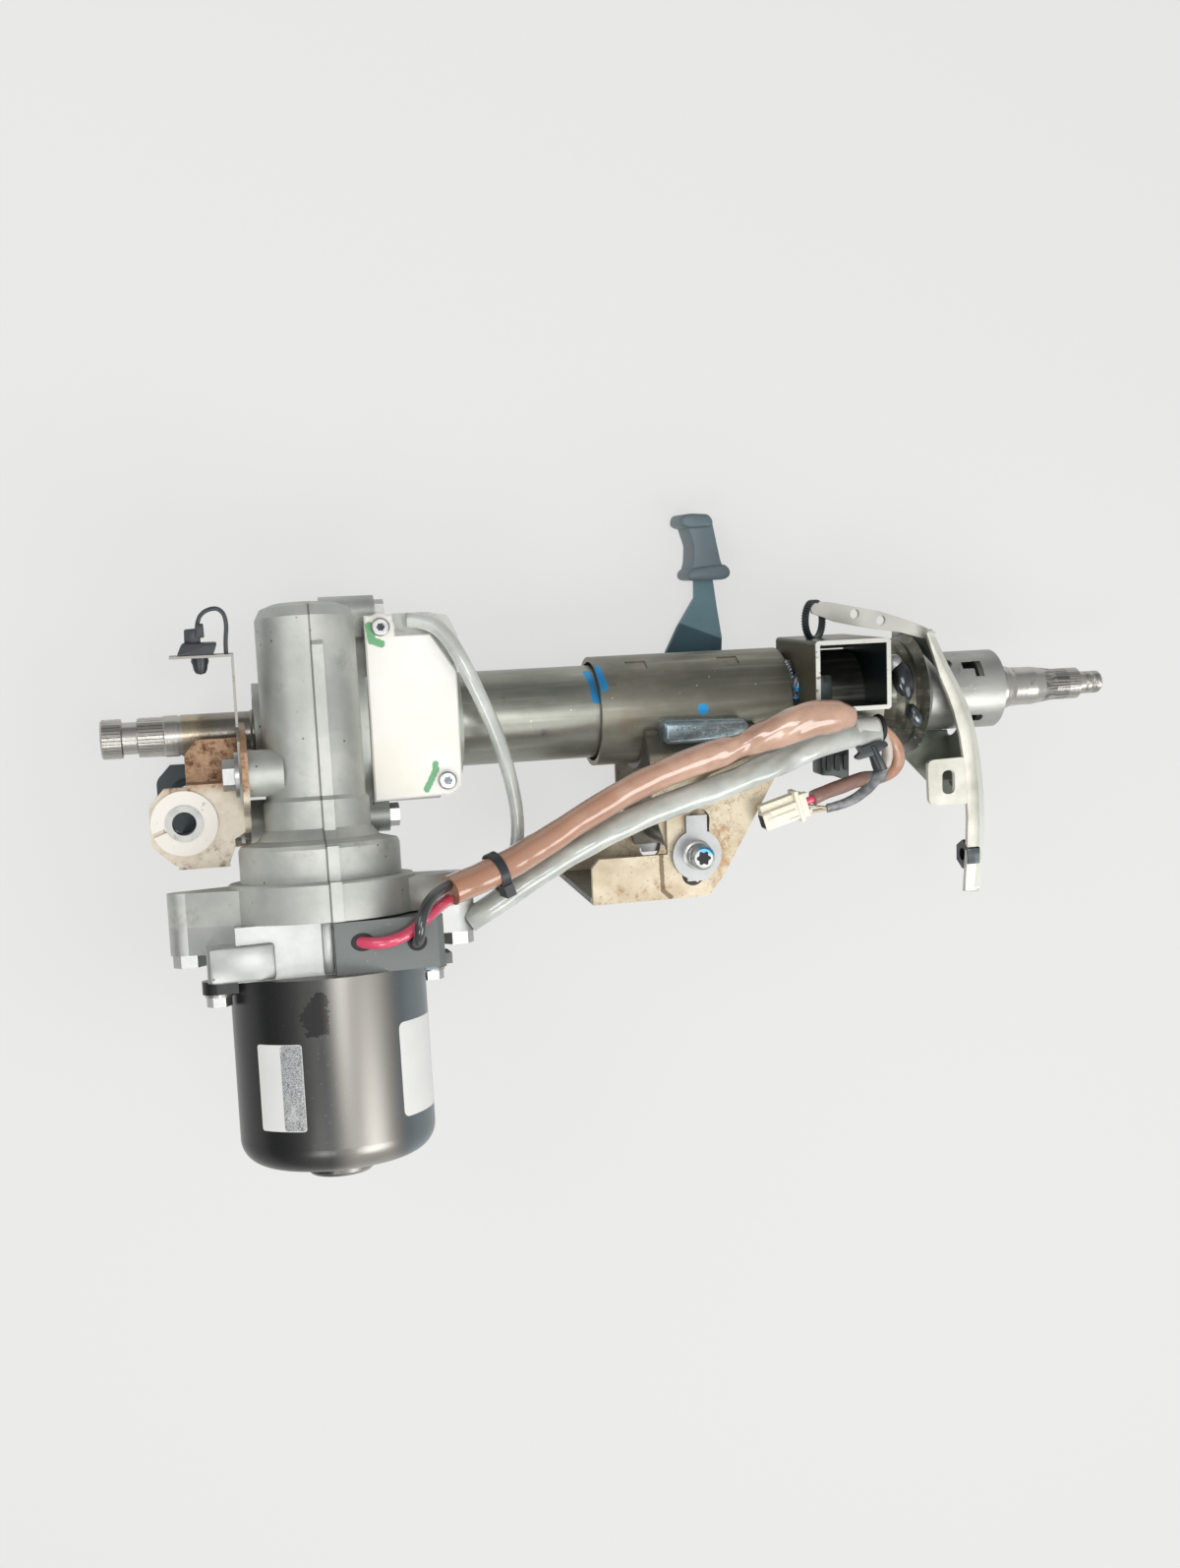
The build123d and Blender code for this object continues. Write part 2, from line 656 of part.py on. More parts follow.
# Rings for the worm shaft and the armature shaft.
with BuildPart() as drive_bearings:
    bearing(drive_down(-47), (0, 0), journal_radius + running_gap, 11, 9)
    bearing(drive_down(31), (0, 0), journal_radius + running_gap, 13, 10)
    bearing(drive_down(87), (0, 0), motor_shaft_radius + running_gap, 11, 8)
    bearing(drive_down(201.5), (0, 0), 4 + running_gap, 9, 7)
save(drive_bearings.part, "drive_bearings")

with BuildPart() as output_bearings:
    bearing(across(79.5), (0, 0), front_seat_radius + running_gap, front_bearing_radius, 9.5)
    bearing(across(112), (0, 0), rear_seat_radius + running_gap, 21, 10)
save(output_bearings.part, "output_bearings")

with BuildPart() as oil_seal:
    turned(upright(0), column_axis, [
        (74.5, seal_radius), (74.5, 13.5), (75.5, front_seat_radius + running_gap),
        (77, front_seat_radius + running_gap), (77, 14), (79, 14), (79, seal_radius),
    ])
save(oil_seal.part, "oil_seal")

# Lower bracket: a back plate bolted to the casting, and two ears that carry the pivot.
ear_face = pivot_ear_z - sheet / 2
with BuildPart() as lower_bracket:
    with BuildSketch(across(bracket_face)) as back_plate:
        with BuildLine():
            Polyline((6, -54), (6, 66), (-2, 74), (-27, 74), (-34, 52), (-44, 50.5), (-44, -4), (-58, -4),
                     (-58, -50.5), (-34, -56), (-8, -60), close=True)
        make_face()
        fillet(back_plate.vertices(), 4)
        Circle(14, mode=Mode.SUBTRACT)
        with Locations((14, 0)):
            Rectangle(28, 28, mode=Mode.SUBTRACT)
        for place in left_boss_bolts:
            with Locations(place):
                Circle(4, mode=Mode.SUBTRACT)
    extrude(amount=sheet)
    for side in (-1, 1):
        with BuildSketch(upright(side * pivot_ear_z - sheet / 2)) as ear:
            with BuildLine():
                Polyline((bracket_face, -20), (30, -20), (22.5, -28), (22.5, -47), (33, -57), (58, -57),
                         (61, -50), (61, -46), (bracket_face, -43), close=True)
            make_face()
            fillet(ear.vertices().group_by(Axis.X)[0], 6)
            with Locations((pivot_station, -column_y)):
                Circle(pivot_hole_radius, mode=Mode.SUBTRACT)
        extrude(amount=sheet)
        with BuildSketch(upright(side * 38 - sheet / 2)) as web:
            with BuildLine():
                Polyline((bracket_face, -22), (40, -22), (40, -6), (46, 1), (bracket_face, 1), close=True)
            make_face()
            fillet(web.vertices().group_by(Axis.X)[1], 3)
        extrude(amount=sheet)
        slab(across(40), [(-22, side * 36.5), (-19, side * 36.5), (-19, side * 50.5), (-22, side * 50.5)],
             bracket_face - 40)
    slab(upright(-50.5), [(58, -59), (bracket_face + sheet, -59), (bracket_face + sheet, -56), (58, -56)], 46)
    slab(upright(-50.5), [(34, -59), (58, -59), (58, -56), (34, -56)], 101)
save(lower_bracket.part, "lower_bracket")

with BuildPart() as pivot_bushes:
    for side in (-1, 1):
        plane = upright(side * pivot_ear_z - sheet / 2)
        centre = (pivot_station, -column_y)
        ring(plane, pivot_hole_radius, collar_radius, sheet, centre)
        ring(upright(side * (pivot_ear_z + 2.2) - 0.7), 15.5, collar_radius, 1.4, centre)
    with BuildSketch(upright(-60)) as slit:
        with Locations((pivot_station - 12, -column_y - 4)):
            Rectangle(12, 2, rotation=20)
    extrude(slit.sketch, amount=120, mode=Mode.SUBTRACT)
save(pivot_bushes.part, "pivot_bushes")

with BuildPart() as pivot_collars:
    for side in (-1, 1):
        ring(upright(side * 49.5 - 3), collar_radius, collar_bore, 6, (pivot_station, -column_y))
save(pivot_collars.part, "pivot_collars")

with BuildPart() as bracket_bolts:
    for place in left_boss_bolts:
        clip = 1.2 if place[1] > 50 else 0
        bolt(across(bracket_face - clip), place, 4, 16, 13, 7.5, 10.5)
save(bracket_bolts.part, "bracket_bolts")

# Clip bracket: a strip under the near bolt, bent over at the top to carry the strap clip.
clip_tab_y = 42
with BuildPart() as clip_bracket:
    with BuildSketch(across(bracket_face - 1.2)) as strip:
        with BuildLine():
            Polyline((-27, 56), (-27, 70), (2, 70), (8, 60), (clip_tab_y, 60), (clip_tab_y, 46), (0, 46),
                     (-6, 50), close=True)
        make_face()
        fillet(strip.vertices().group_by(Axis.Y)[0], 3)
        with Locations(left_boss_bolts[0]):
            Circle(4, mode=Mode.SUBTRACT)
    extrude(amount=1.2)
    slab(upright(46), [(37, 40.8), (bracket_face - 1.2, 40.8), (bracket_face, 39), (bracket_face, clip_tab_y),
                       (37, clip_tab_y)], 14)
save(clip_bracket.part, "clip_bracket")

with BuildPart() as tie_mount:
    slab(upright(44), [(40, clip_tab_y), (60, clip_tab_y), (60, clip_tab_y + 4), (40, clip_tab_y + 4)], 17,
         corner=0.8)
    slab(upright(48), [(44, clip_tab_y + 3), (53, clip_tab_y + 3), (52, clip_tab_y + 10),
                       (45, clip_tab_y + 10)], 10)
    with BuildSketch(upright(50)) as strap:
        with Locations((49.5, 55)):
            Circle(11.2)
            Circle(9.8, mode=Mode.SUBTRACT)
        with Locations((40.5, 49)):
            Rectangle(10, 12, mode=Mode.SUBTRACT)
    extrude(strap.sketch, amount=6)
    with BuildSketch(Plane.XZ.offset(-column_y - clip_tab_y + 1.2)) as foot:
        with Locations((tip_x + 49, 53)):
            Circle(3)
    extrude(foot.sketch, amount=9)
save(tie_mount.part, "tie_mount")

# Column tubes. The inner tube is pressed into the sensor housing; the jacket slides over it.
with BuildPart() as inner_tube:
    ring(across(socket_start), inner_tube_radius, inner_tube_radius - inner_tube_wall, 330 - socket_start)
save(inner_tube.part, "inner_tube")

with BuildPart() as slide_bush:
    ring(across(256), outer_tube_bore, inner_tube_radius + 0.05, 62)
save(slide_bush.part, "slide_bush")

dimple_stations = [270, 320]
with BuildPart() as outer_tube:
    ring(across(outer_tube_start), outer_tube_radius, outer_tube_bore, outer_tube_end - outer_tube_start)
    for station in dimple_stations:
        with BuildSketch(across(station - 5.5)) as dimples:
            with PolarLocations(outer_tube_radius, 4, start_angle=32):
                Rectangle(1.6, 7)
        extrude(dimples.sketch, amount=11, mode=Mode.SUBTRACT)
save(outer_tube.part, "outer_tube")

with BuildPart() as upper_tube:
    turned(upright(0), column_axis, [
        (335, upper_tube_bore), (335, outer_tube_bore - 0.05), (outer_tube_end + 1, outer_tube_bore - 0.05),
        (404, outer_tube_bore - 0.05), (410, 28), (414, 30), (417, 29), (420, 30.5), (423, 29),
        (upper_tube_end, 33), (upper_tube_end, 30.5), (421, 25.5), (408, upper_tube_bore),
    ])
save(upper_tube.part, "upper_tube")

# Steering-lock box: a square tube that opens to the front and hugs the column tube.
box_left = 354
box_right = 395
box_bottom = -2.6
box_top = 34
box_wall = 2.3
box_front = 55
with BuildPart() as lock_box:
    slab(upright(-4), [(box_left, box_bottom), (box_right, box_bottom), (box_right, box_top),
                       (box_left, box_top)], box_front + 4, corner=2)
    slab(upright(-4), [
        (box_left + box_wall, box_bottom + box_wall), (box_right - box_wall, box_bottom + box_wall),
        (box_right - box_wall, box_top - box_wall), (box_left + box_wall, box_top - box_wall),
    ], box_front + 4, mode=Mode.SUBTRACT)
    disc(across(box_left - 1), outer_tube_bore, box_right - box_left + 2, mode=Mode.SUBTRACT)
save(lock_box.part, "lock_box")

# End tube: holds the upper bearing; a key-shaped window and slots are cut in it.
with BuildPart() as bearing_tube:
    turned(upright(0), column_axis, [
        (412, 22.5), (412, upper_tube_bore), (424, upper_tube_bore), (434, end_tube_radius),
        (end_tube_end, end_tube_radius), (end_tube_end, 19), (436, 19), (424, 22.5),
    ])
    with BuildSketch(upright(10)) as windows:
        with Locations((463, 12.5)):
            Rectangle(5, 8)
        with Locations((458, 14.5)):
            Rectangle(8, 3.5)
        with Locations((461, -14.5)):
            SlotOverall(10, 3.5)
        with Locations((444, 16)):
            SlotOverall(9, 3.5)
    extrude(windows.sketch, amount=20, mode=Mode.SUBTRACT)
save(bearing_tube.part, "bearing_tube")

with BuildPart() as upper_bearing:
    bearing(across(464), (0, 0), front_seat_radius + running_gap, 19, 11)
save(upper_bearing.part, "upper_bearing")

# Upper plate: one curved pressing with an arm, a slotted tab and a long leg. The outline across the
# column is cut out of a band that follows the curve.
plate_near = 32
plate_far = -30
with BuildPart() as upper_plate:
    with BuildSketch(upright(plate_far)) as curve:
        with BuildLine():
            right_face = Spline((429, 36), (439.5, 13.8), (449.1, -5.2), (456.5, -36.1), (458.7, -67),
                                (455.3, -109))
            left_face = Spline((426, 36), (436.5, 13.8), (446.1, -5.2), (453.5, -36.1), (455.7, -67),
                               (452.3, -109))
            Line(right_face @ 0, left_face @ 0)
            Line(right_face @ 1, left_face @ 1)
        make_face()
    extrude(amount=plate_near - plate_far)
    with BuildSketch(across(400)) as plate_outline:
        with BuildLine():
            Polyline((37, -12), (37, plate_near), (-108.7, plate_near), (-108.7, 20.5), (-64, 20.5),
                     (-59.5, 14), (-59.5, -22), (-34, -22), (-28, plate_far), (20, plate_far), close=True)
        make_face()
        fillet(plate_outline.vertices(), 3)
        Circle(upper_tube_bore + 0.5, mode=Mode.SUBTRACT)
        with Locations((-46, 0)):
            SlotOverall(16, 7.5, mode=Mode.SUBTRACT)
        with Locations((-100, 26)):
            Circle(2, mode=Mode.SUBTRACT)
    extrude(amount=70, mode=Mode.INTERSECT)
    with BuildSketch(upright(23)) as arm:
        with BuildLine():
            Polyline((362, 53.5), (374, 52.5), (402, 46.5), (421, 40), (434, 34), (430, 30), (413, 35),
                     (393, 38.3), (377, 42), (364, 47), close=True)
        make_face()
        fillet(arm.vertices().group_by(Axis.X)[0], 2)
        with Locations((387.6, 45.7), (402.5, 41.7)):
            Circle(2.6, mode=Mode.SUBTRACT)
    extrude(amount=2.6)
save(upper_plate.part, "upper_plate")

with BuildPart() as plate_nut:
    with BuildSketch(across(448.5)) as nut:
        with Locations((-88, 26)):
            RegularPolygon(7, 6, major_radius=False)
            Circle(3.4, mode=Mode.SUBTRACT)
    extrude(amount=7)
    add(upper_plate.part, mode=Mode.SUBTRACT)
save(plate_nut.part, "plate_nut")

with BuildPart() as ring_clip:
    ring(across(355.5), 10.5, 8.3, 6, (46, 27))
save(ring_clip.part, "ring_clip")

# Column side of the tilt clamp: a saddle welded under the outer tube, with two legs.
with BuildPart() as tilt_bracket:
    with BuildSketch(across(270)) as saddle:
        Circle(outer_tube_radius + sheet)
        Circle(outer_tube_radius, mode=Mode.SUBTRACT)
        with Locations((-9, 0)):
            Rectangle(60, 80, align=(Align.MIN, Align.CENTER), mode=Mode.SUBTRACT)
        for side in (-1, 1):
            with BuildLine():
                Polyline((-10, side * 27), (-12, side * 30), (-24, side * (tilt_leg_z + sheet)),
                         (-80, side * (tilt_leg_z + sheet)), (-80, side * tilt_leg_z),
                         (-25, side * tilt_leg_z), (-17, side * 25), close=True)
            make_face()
    extrude(amount=60)
    with BuildSketch(upright(-45)) as trim:
        with BuildLine():
            Polyline((265, -30), (281, -84), (265, -84), close=True)
        make_face()
        with BuildLine():
            Polyline((335, -30), (303, -84), (335, -84), close=True)
        make_face()
        with Locations((clamp_x, clamp_y)):
            Circle(clamp_radius + 0.1)
    extrude(amount=90, mode=Mode.SUBTRACT)
save(tilt_bracket.part, "tilt_bracket")

# Vehicle side of the tilt clamp: legs with curved slots, a base plate and side lips.
pivot_to_clamp = Vector(clamp_x - pivot_station, clamp_y + column_y)
slot_down = 2.4
slot_up = 3.9


def slot_centre(angle):
    """Point of the clamp's path about the lower pivot, as a station and a height."""
    moved = pivot_to_clamp.rotate(Axis.Z, angle)
    return (moved.X + pivot_station, moved.Y - column_y)


with BuildPart() as vehicle_bracket:
    for side in (-1, 1):
        with BuildSketch(upright(side * (vehicle_leg_z + sheet / 2) - sheet / 2)) as leg:
            with BuildLine():
                Polyline((276, -94), (298, -94), (305.4, -85.6), (337, -32), (339, -23), (333, -19),
                         (300, -32), (276, -52), close=True)
            make_face()
            fillet(leg.vertices().group_by(Axis.Y)[-1], 3)
            with BuildLine():
                Polyline((236, -95), (276, -95), (276, -71.6), (240, -71.6), (236, -76), close=True)
            make_face()
            with BuildLine(mode=Mode.PRIVATE):
                slot_path = ThreePointArc(slot_centre(-slot_down), slot_centre(0), slot_centre(slot_up))
            SlotArc(slot_path, slot_width, mode=Mode.SUBTRACT)
        extrude(amount=sheet)
    with BuildSketch(Plane.XZ.offset(-column_y + 95)) as base:
        with Locations((tip_x + 267, 0)):
            Rectangle(62, 2 * (vehicle_leg_z + sheet))
        with Locations((tip_x + 256, 24), (tip_x + 256, -24)):
            Circle(5.5, mode=Mode.SUBTRACT)
        with Locations((tip_x + 284, 0)):
            Rectangle(14, 40, mode=Mode.SUBTRACT)
    extrude(amount=-sheet)
save(vehicle_bracket.part, "vehicle_bracket")

# Clamp: the bolt, the guides that run in the slots, the cam and the lever with its grip.
near_guide_z = vehicle_leg_z + sheet + 0.3
with BuildPart() as tilt_bolt:
    disc(upright(-59), clamp_radius, 115, (clamp_x, clamp_y))
    with BuildSketch(upright(-59)) as bolt_head:
        with Locations((clamp_x, clamp_y)):
            RegularPolygon(8, 6, major_radius=False)
    extrude(bolt_head.sketch, amount=-6)
    with BuildSketch(upright(56)) as key:
        with Locations((clamp_x, clamp_y)):
            RegularPolygon(2.9, 6)
    extrude(key.sketch, amount=-3, mode=Mode.SUBTRACT)
save(tilt_bolt.part, "tilt_bolt")

with BuildPart() as guide_plates:
    for side in (-1, 1):
        low = near_guide_z if side > 0 else -near_guide_z - 2.5
        with BuildSketch(upright(low)) as guide:
            with Locations((clamp_x, clamp_y)):
                Circle(13)
            with Locations((clamp_x, clamp_y + 3.4)):
                Rectangle(11, 34)
            with Locations((clamp_x, clamp_y)):
                Circle(clamp_radius, mode=Mode.SUBTRACT)
        extrude(amount=2.5)
save(guide_plates.part, "guide_plates")

with BuildPart() as clamp_nut:
    ring(upright(near_guide_z + 2.5), 9.5, clamp_radius, 1.5, (clamp_x, clamp_y))
    with BuildSketch(upright(near_guide_z + 4)) as nut:
        with Locations((clamp_x, clamp_y)):
            RegularPolygon(7.5, 6, major_radius=False)
            Circle(clamp_radius, mode=Mode.SUBTRACT)
    extrude(amount=4)
save(clamp_nut.part, "clamp_nut")

lever_z = -52.5
with BuildPart() as cam_plate:
    ring(upright(-near_guide_z - 5.7), 12, clamp_radius, 3.2, (clamp_x, clamp_y))
save(cam_plate.part, "cam_plate")

with BuildPart() as tilt_lever:
    with BuildSketch(upright(lever_z - 4)) as arm:
        with Locations((clamp_x, clamp_y)):
            Circle(13)
        with BuildLine():
            Polyline((280, -66), (302, -80), (329, -20), (338.6, 25), (339, 33), (336.5, 50), (334, 70),
                     (324, 70), (323.7, 56), (313.3, 40), (306, 26), (301, -10), close=True)
        make_face()
        with Locations((clamp_x, clamp_y)):
            Circle(clamp_radius + 0.1, mode=Mode.SUBTRACT)
    extrude(amount=4)
save(tilt_lever.part, "tilt_lever")

with BuildPart() as lever_grip:
    with BuildSketch(upright(-66)) as grip:
        with BuildLine():
            Polyline((322, 66), (344, 65.5), (346.4, 68.5), (342, 82), (337.4, 103), (326, 105.5), (313, 105),
                     (312.5, 101), (320, 98), (315.8, 82.6), (313.5, 73), close=True)
        make_face()
    extrude(amount=24)
    fillet(lever_grip.edges().filter_by(Axis.Z), 2)
    add(tilt_lever.part, mode=Mode.SUBTRACT)
save(lever_grip.part, "lever_grip")

# Wiring. Each route is a list of stations, heights above the column axis and z.
with BuildPart() as red_wire:
    cord("red_wire", red_route, red_diameter)
save(red_wire.part, "red_wire")

with BuildPart() as black_wire:
    cord("black_wire", black_route, black_diameter)
save(black_wire.part, "black_wire")

with BuildPart() as brown_sleeve:
    cord("brown_sleeve", [
        (157.5, -71.8, 88), (180.5, -66.5, 80), (205, -56, 73.5), (230.4, -43, 69), (256.2, -31, 66.5),
        (281.7, -22.4, 66), (307, -15.8, 66.5), (331, -8.2, 68), (350, -1.6, 70.5), (368, -4.6, 67.5),
    ], 14.5)
save(brown_sleeve.part, "brown_sleeve")

with BuildPart() as grey_sleeve:
    cord("grey_sleeve", [
        (184.4, -85, 70), (209.9, -75.4, 64.5), (241.1, -62, 61.5), (271.8, -51.6, 61.5), (297.7, -43, 61.5),
        (319.4, -33.5, 60), (338, -26.5, 58), (358.2, -19, 55), (374.5, -15.2, 51.5), (390, -13.6, 48),
    ], 12.5)
save(grey_sleeve.part, "grey_sleeve")

with BuildPart() as sensor_cable:
    cord("sensor_cable", [
        (150, 53.5, 42), (159.5, 52.5, 45), (167.6, 45, 49), (173.3, 33.5, 52), (178.6, 21.5, 52.5),
        (184.8, 7.5, 51), (190.8, -9, 50), (195.5, -28, 50), (197.8, -47, 51.5), (195, -63.5, 56),
        (189.3, -77, 61),
    ], 6.6)
save(sensor_cable.part, "sensor_cable")

with BuildPart() as lead_sleeve:
    cord("lead_sleeve", [
        (392.6, -14, 46.5), (400, -19.5, 43), (405, -28, 41), (403, -36.5, 41), (394, -40, 42.5),
        (381, -39.5, 45), (366, -43, 48), (352.8, -47.1, 50),
    ], 7.5)
save(lead_sleeve.part, "lead_sleeve")

with BuildPart() as connector:
    tilted = Plane(origin=(tip_x + 337.3, column_y - 49.8, 45), x_dir=(0.985, 0.171, 0), z_dir=(0, 0, 1))
    slab(tilted, [(-15, -6), (-9, -7), (9, -7), (15, -5), (15, 5), (9, 7), (-9, 7), (-15, 6)], 10)
    fillet(connector.edges().filter_by(Axis.Z), 1)
save(connector.part, "connector")

with BuildPart() as cable_tie:
    tie_plane = Plane(origin=(tip_x + 179, column_y - 66.8, 80.5), x_dir=(0, 1, 0), z_dir=(0.91, 0.3, -0.27))
    ring(tie_plane, 9.6, 8.4, 4.5)
    with BuildSketch(tie_plane) as tie_head:
        with Locations((-9, 4)):
            Rectangle(6, 8)
    extrude(tie_head.sketch, amount=5)
save(cable_tie.part, "cable_tie")

with BuildPart() as wire_clip:
    slab(upright(51), [(378, -25), (392, -22), (391, -29), (379, -31)], 7, corner=1)
save(wire_clip.part, "wire_clip")
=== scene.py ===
import bmesh
import bpy
import math
from mathutils import Matrix, Vector, noise


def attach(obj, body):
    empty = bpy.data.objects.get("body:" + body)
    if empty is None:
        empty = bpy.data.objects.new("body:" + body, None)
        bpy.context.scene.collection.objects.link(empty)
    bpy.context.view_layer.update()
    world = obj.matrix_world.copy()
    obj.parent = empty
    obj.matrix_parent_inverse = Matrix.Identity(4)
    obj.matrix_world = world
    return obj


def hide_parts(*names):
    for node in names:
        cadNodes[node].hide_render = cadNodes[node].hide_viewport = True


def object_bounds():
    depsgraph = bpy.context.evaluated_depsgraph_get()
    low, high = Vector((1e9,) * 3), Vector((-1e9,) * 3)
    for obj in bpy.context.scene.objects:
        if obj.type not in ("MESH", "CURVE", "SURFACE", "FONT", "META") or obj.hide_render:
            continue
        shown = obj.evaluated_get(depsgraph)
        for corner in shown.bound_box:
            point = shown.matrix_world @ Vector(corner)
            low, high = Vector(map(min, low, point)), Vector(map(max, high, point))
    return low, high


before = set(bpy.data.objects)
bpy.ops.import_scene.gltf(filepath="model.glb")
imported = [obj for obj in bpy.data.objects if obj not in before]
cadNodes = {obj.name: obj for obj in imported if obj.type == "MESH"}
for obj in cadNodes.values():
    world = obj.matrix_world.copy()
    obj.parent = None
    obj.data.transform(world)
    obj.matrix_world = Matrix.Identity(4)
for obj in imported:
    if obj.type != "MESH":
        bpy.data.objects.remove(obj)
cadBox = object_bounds()
print("frame loaded with", len(cadNodes), "nodes")

# Places are given as a station along the column, a height above its axis and z, in millimetres
column = {"tip": -38.2, "axis": 36.8, "driveTilt": 7.2, "wormStation": 100, "wormOut": 50}
tilt = math.radians(column["driveTilt"])
driveUp = Vector((0, math.cos(tilt), -math.sin(tilt)))
driveOut = Vector((0, math.sin(tilt), math.cos(tilt)))


def at(station, height, z):
    return Vector((station + column["tip"], height + column["axis"], z)) / 1000


def atDrive(station, up, out):
    return at(station, 0, 0) + (driveUp * up + driveOut * out) / 1000


def atMotor(angle, radius, up):
    turn = math.radians(angle)
    return atDrive(column["wormStation"] + radius * math.sin(turn), up,
                   column["wormOut"] + radius * math.cos(turn))


def tone(code):
    parts = [int(code[i:i + 2], 16) / 255 for i in (0, 2, 4)]
    return tuple(p / 12.92 if p < 0.04045 else ((p + 0.055) / 1.055) ** 2.4 for p in parts)


def show(name, data):
    data.name = name
    piece = bpy.data.objects.new(name, data)
    bpy.context.scene.collection.objects.link(piece)
    return piece


def bake(source):  # the evaluated mesh of an object that is then removed
    graph = bpy.context.evaluated_depsgraph_get()
    mesh = bpy.data.meshes.new_from_object(source.evaluated_get(graph), depsgraph=graph)
    source.modifiers.clear()
    bpy.data.objects.remove(source)
    return mesh


# Camera at the photograph's viewpoint
cameraSet = {"focal": 1600, "height": 1594, "sensor": 36, "place": (0.02266, 0.11336, 0.80772),
             "right": (0.97272, -0.03740, 0.22896), "up": (0.06764, 0.98976, -0.12568),
             "back": (-0.22192, 0.13773, 0.96529)}


def makeCamera():
    data = bpy.data.cameras.new("camera")
    data.lens = cameraSet["focal"] / cameraSet["height"] * cameraSet["sensor"]
    data.sensor_width = cameraSet["sensor"]
    camera = show("camera", data)
    turn = Matrix([cameraSet["right"], cameraSet["up"], cameraSet["back"]]).transposed()
    camera.matrix_world = Matrix.Translation(cameraSet["place"]) @ turn.to_4x4()
    bpy.context.scene.camera = camera


makeCamera()


# Node trees: a value wraps a socket, so that sums and products of values add their Math nodes
class Value:
    def __init__(self, tree, socket):
        self.tree, self.socket = tree, socket

    def maths(self, operation, first, second=0.0):
        return self.tree.node("ShaderNodeMath", {"operation": operation}, {0: first, 1: second})

    def __add__(self, other):
        return self.maths("ADD", self, other)

    def __sub__(self, other):
        return self.maths("SUBTRACT", self, other)

    def __rsub__(self, other):
        return self.maths("SUBTRACT", other, self)

    def __mul__(self, other):
        return self.maths("MULTIPLY", self, other)

    def __truediv__(self, other):
        return self.maths("DIVIDE", self, other)

    def __or__(self, other):
        return self.maths("MAXIMUM", self, other)

    def sine(self):
        return self.maths("SINE", self)

    def size(self):
        return self.maths("ABSOLUTE", self)

    def ramp(self, low, high):  # 0 below low, 1 above high, smooth between
        return self.tree.node("ShaderNodeMapRange", {"interpolation_type": "SMOOTHSTEP"},
                              {"Value": self, "From Min": low, "From Max": high})

    def between(self, start, full, fall, end):  # up from start to full, down from fall to end
        return self.ramp(start, full) * (1 - self.ramp(fall, end))


class Tree:
    def __init__(self, tree):
        self.tree = tree

    def join(self, value, socket):
        if isinstance(value, str):  # the code of a colour
            value = tone(value)
        if isinstance(value, Value):
            self.tree.links.new(value.socket, socket)
        elif socket.type == "RGBA" and len(value) == 3:
            socket.default_value = (*value, 1)
        else:
            socket.default_value = value

    def node(self, kind, settings=None, inputs=None, output=0):
        made = self.tree.nodes.new(kind)
        for key, value in (settings or {}).items():
            setattr(made, key, value)
        for key, value in (inputs or {}).items():
            self.join(value, made.inputs[key])
        return Value(self, made.outputs[output])

    def close(self, kind, value):
        end = self.tree.nodes.new(kind)
        self.tree.links.new(value.socket, end.inputs[0])


finishes = {}


class Finish(Tree):  # a material of two clouded tones, with layers painted over them
    def __init__(self, name, grain=None, dark=None, light=None, ramp=None):
        self.material = bpy.data.materials.new(name)
        self.material.use_nodes = True
        super().__init__(self.material.node_tree)
        self.tree.nodes.clear()
        self.place = self.node("ShaderNodeTexCoord", output="Object")
        if grain:
            self.cloud = self.noise(*grain)
            self.colour = self.mix(self.cloud.ramp(*ramp) if ramp else self.cloud, dark, light)

    def axis(self, name):
        return self.node("ShaderNodeSeparateXYZ", None, {0: self.place}, name)

    def noise(self, scale, detail=3.0, rough=0.5, stretch=(1, 1, 1)):
        place = self.node("ShaderNodeVectorMath", {"operation": "MULTIPLY"},
                          {0: self.place, 1: stretch})
        return self.node("ShaderNodeTexNoise", None,
                         {"Vector": place, "Scale": scale, "Detail": detail, "Roughness": rough})

    def specks(self, scale, share):  # small sharp dots
        cells = self.node("ShaderNodeTexVoronoi", None, {"Vector": self.place, "Scale": scale})
        patches = self.noise(scale * 0.4, 1.0).ramp(1 - share, 1.02 - share)
        return (1 - cells.ramp(0.06, 0.16)) * patches

    def mix(self, mask, low, high):
        return self.node("ShaderNodeMix", {"data_type": "RGBA", "clamp_factor": True},
                         {0: mask, 6: low, 7: high}, 2)

    def paint(self, mask, colour):
        self.colour = self.mix(mask, self.colour, colour)

    def spot(self, centre, radius, ragged=0.0):  # 1 inside a ball, with a ragged edge
        reach = self.node("ShaderNodeVectorMath", {"operation": "DISTANCE"},
                          {0: self.place, 1: centre}, "Value")
        if ragged:
            reach = reach + (self.noise(700, 2.0) - 0.5) * ragged
        return 1 - reach.ramp(radius, radius + 0.0006)

    def stroke(self, first, last, width, ragged=0.001):  # brush stroke between two places
        steps = max(2, math.ceil((last - first).length / width * 1.6))
        mask = self.spot(first, width, ragged)
        for i in range(1, steps):
            mask = mask | self.spot(first.lerp(last, i / (steps - 1)), width, ragged)
        return mask

    def surface(self, roughness, metallic, height, depth, strength, **fixed):
        bump = self.node("ShaderNodeBump", None,
                         {"Height": height, "Strength": strength, "Distance": depth})
        values = {"Base Color": self.colour, "Roughness": roughness, "Metallic": metallic,
                  "Normal": bump}
        values.update({key.replace("_", " "): value for key, value in fixed.items()})
        self.close("ShaderNodeOutputMaterial", self.node("ShaderNodeBsdfPrincipled", None, values))
        finishes[self.material.name] = self.material


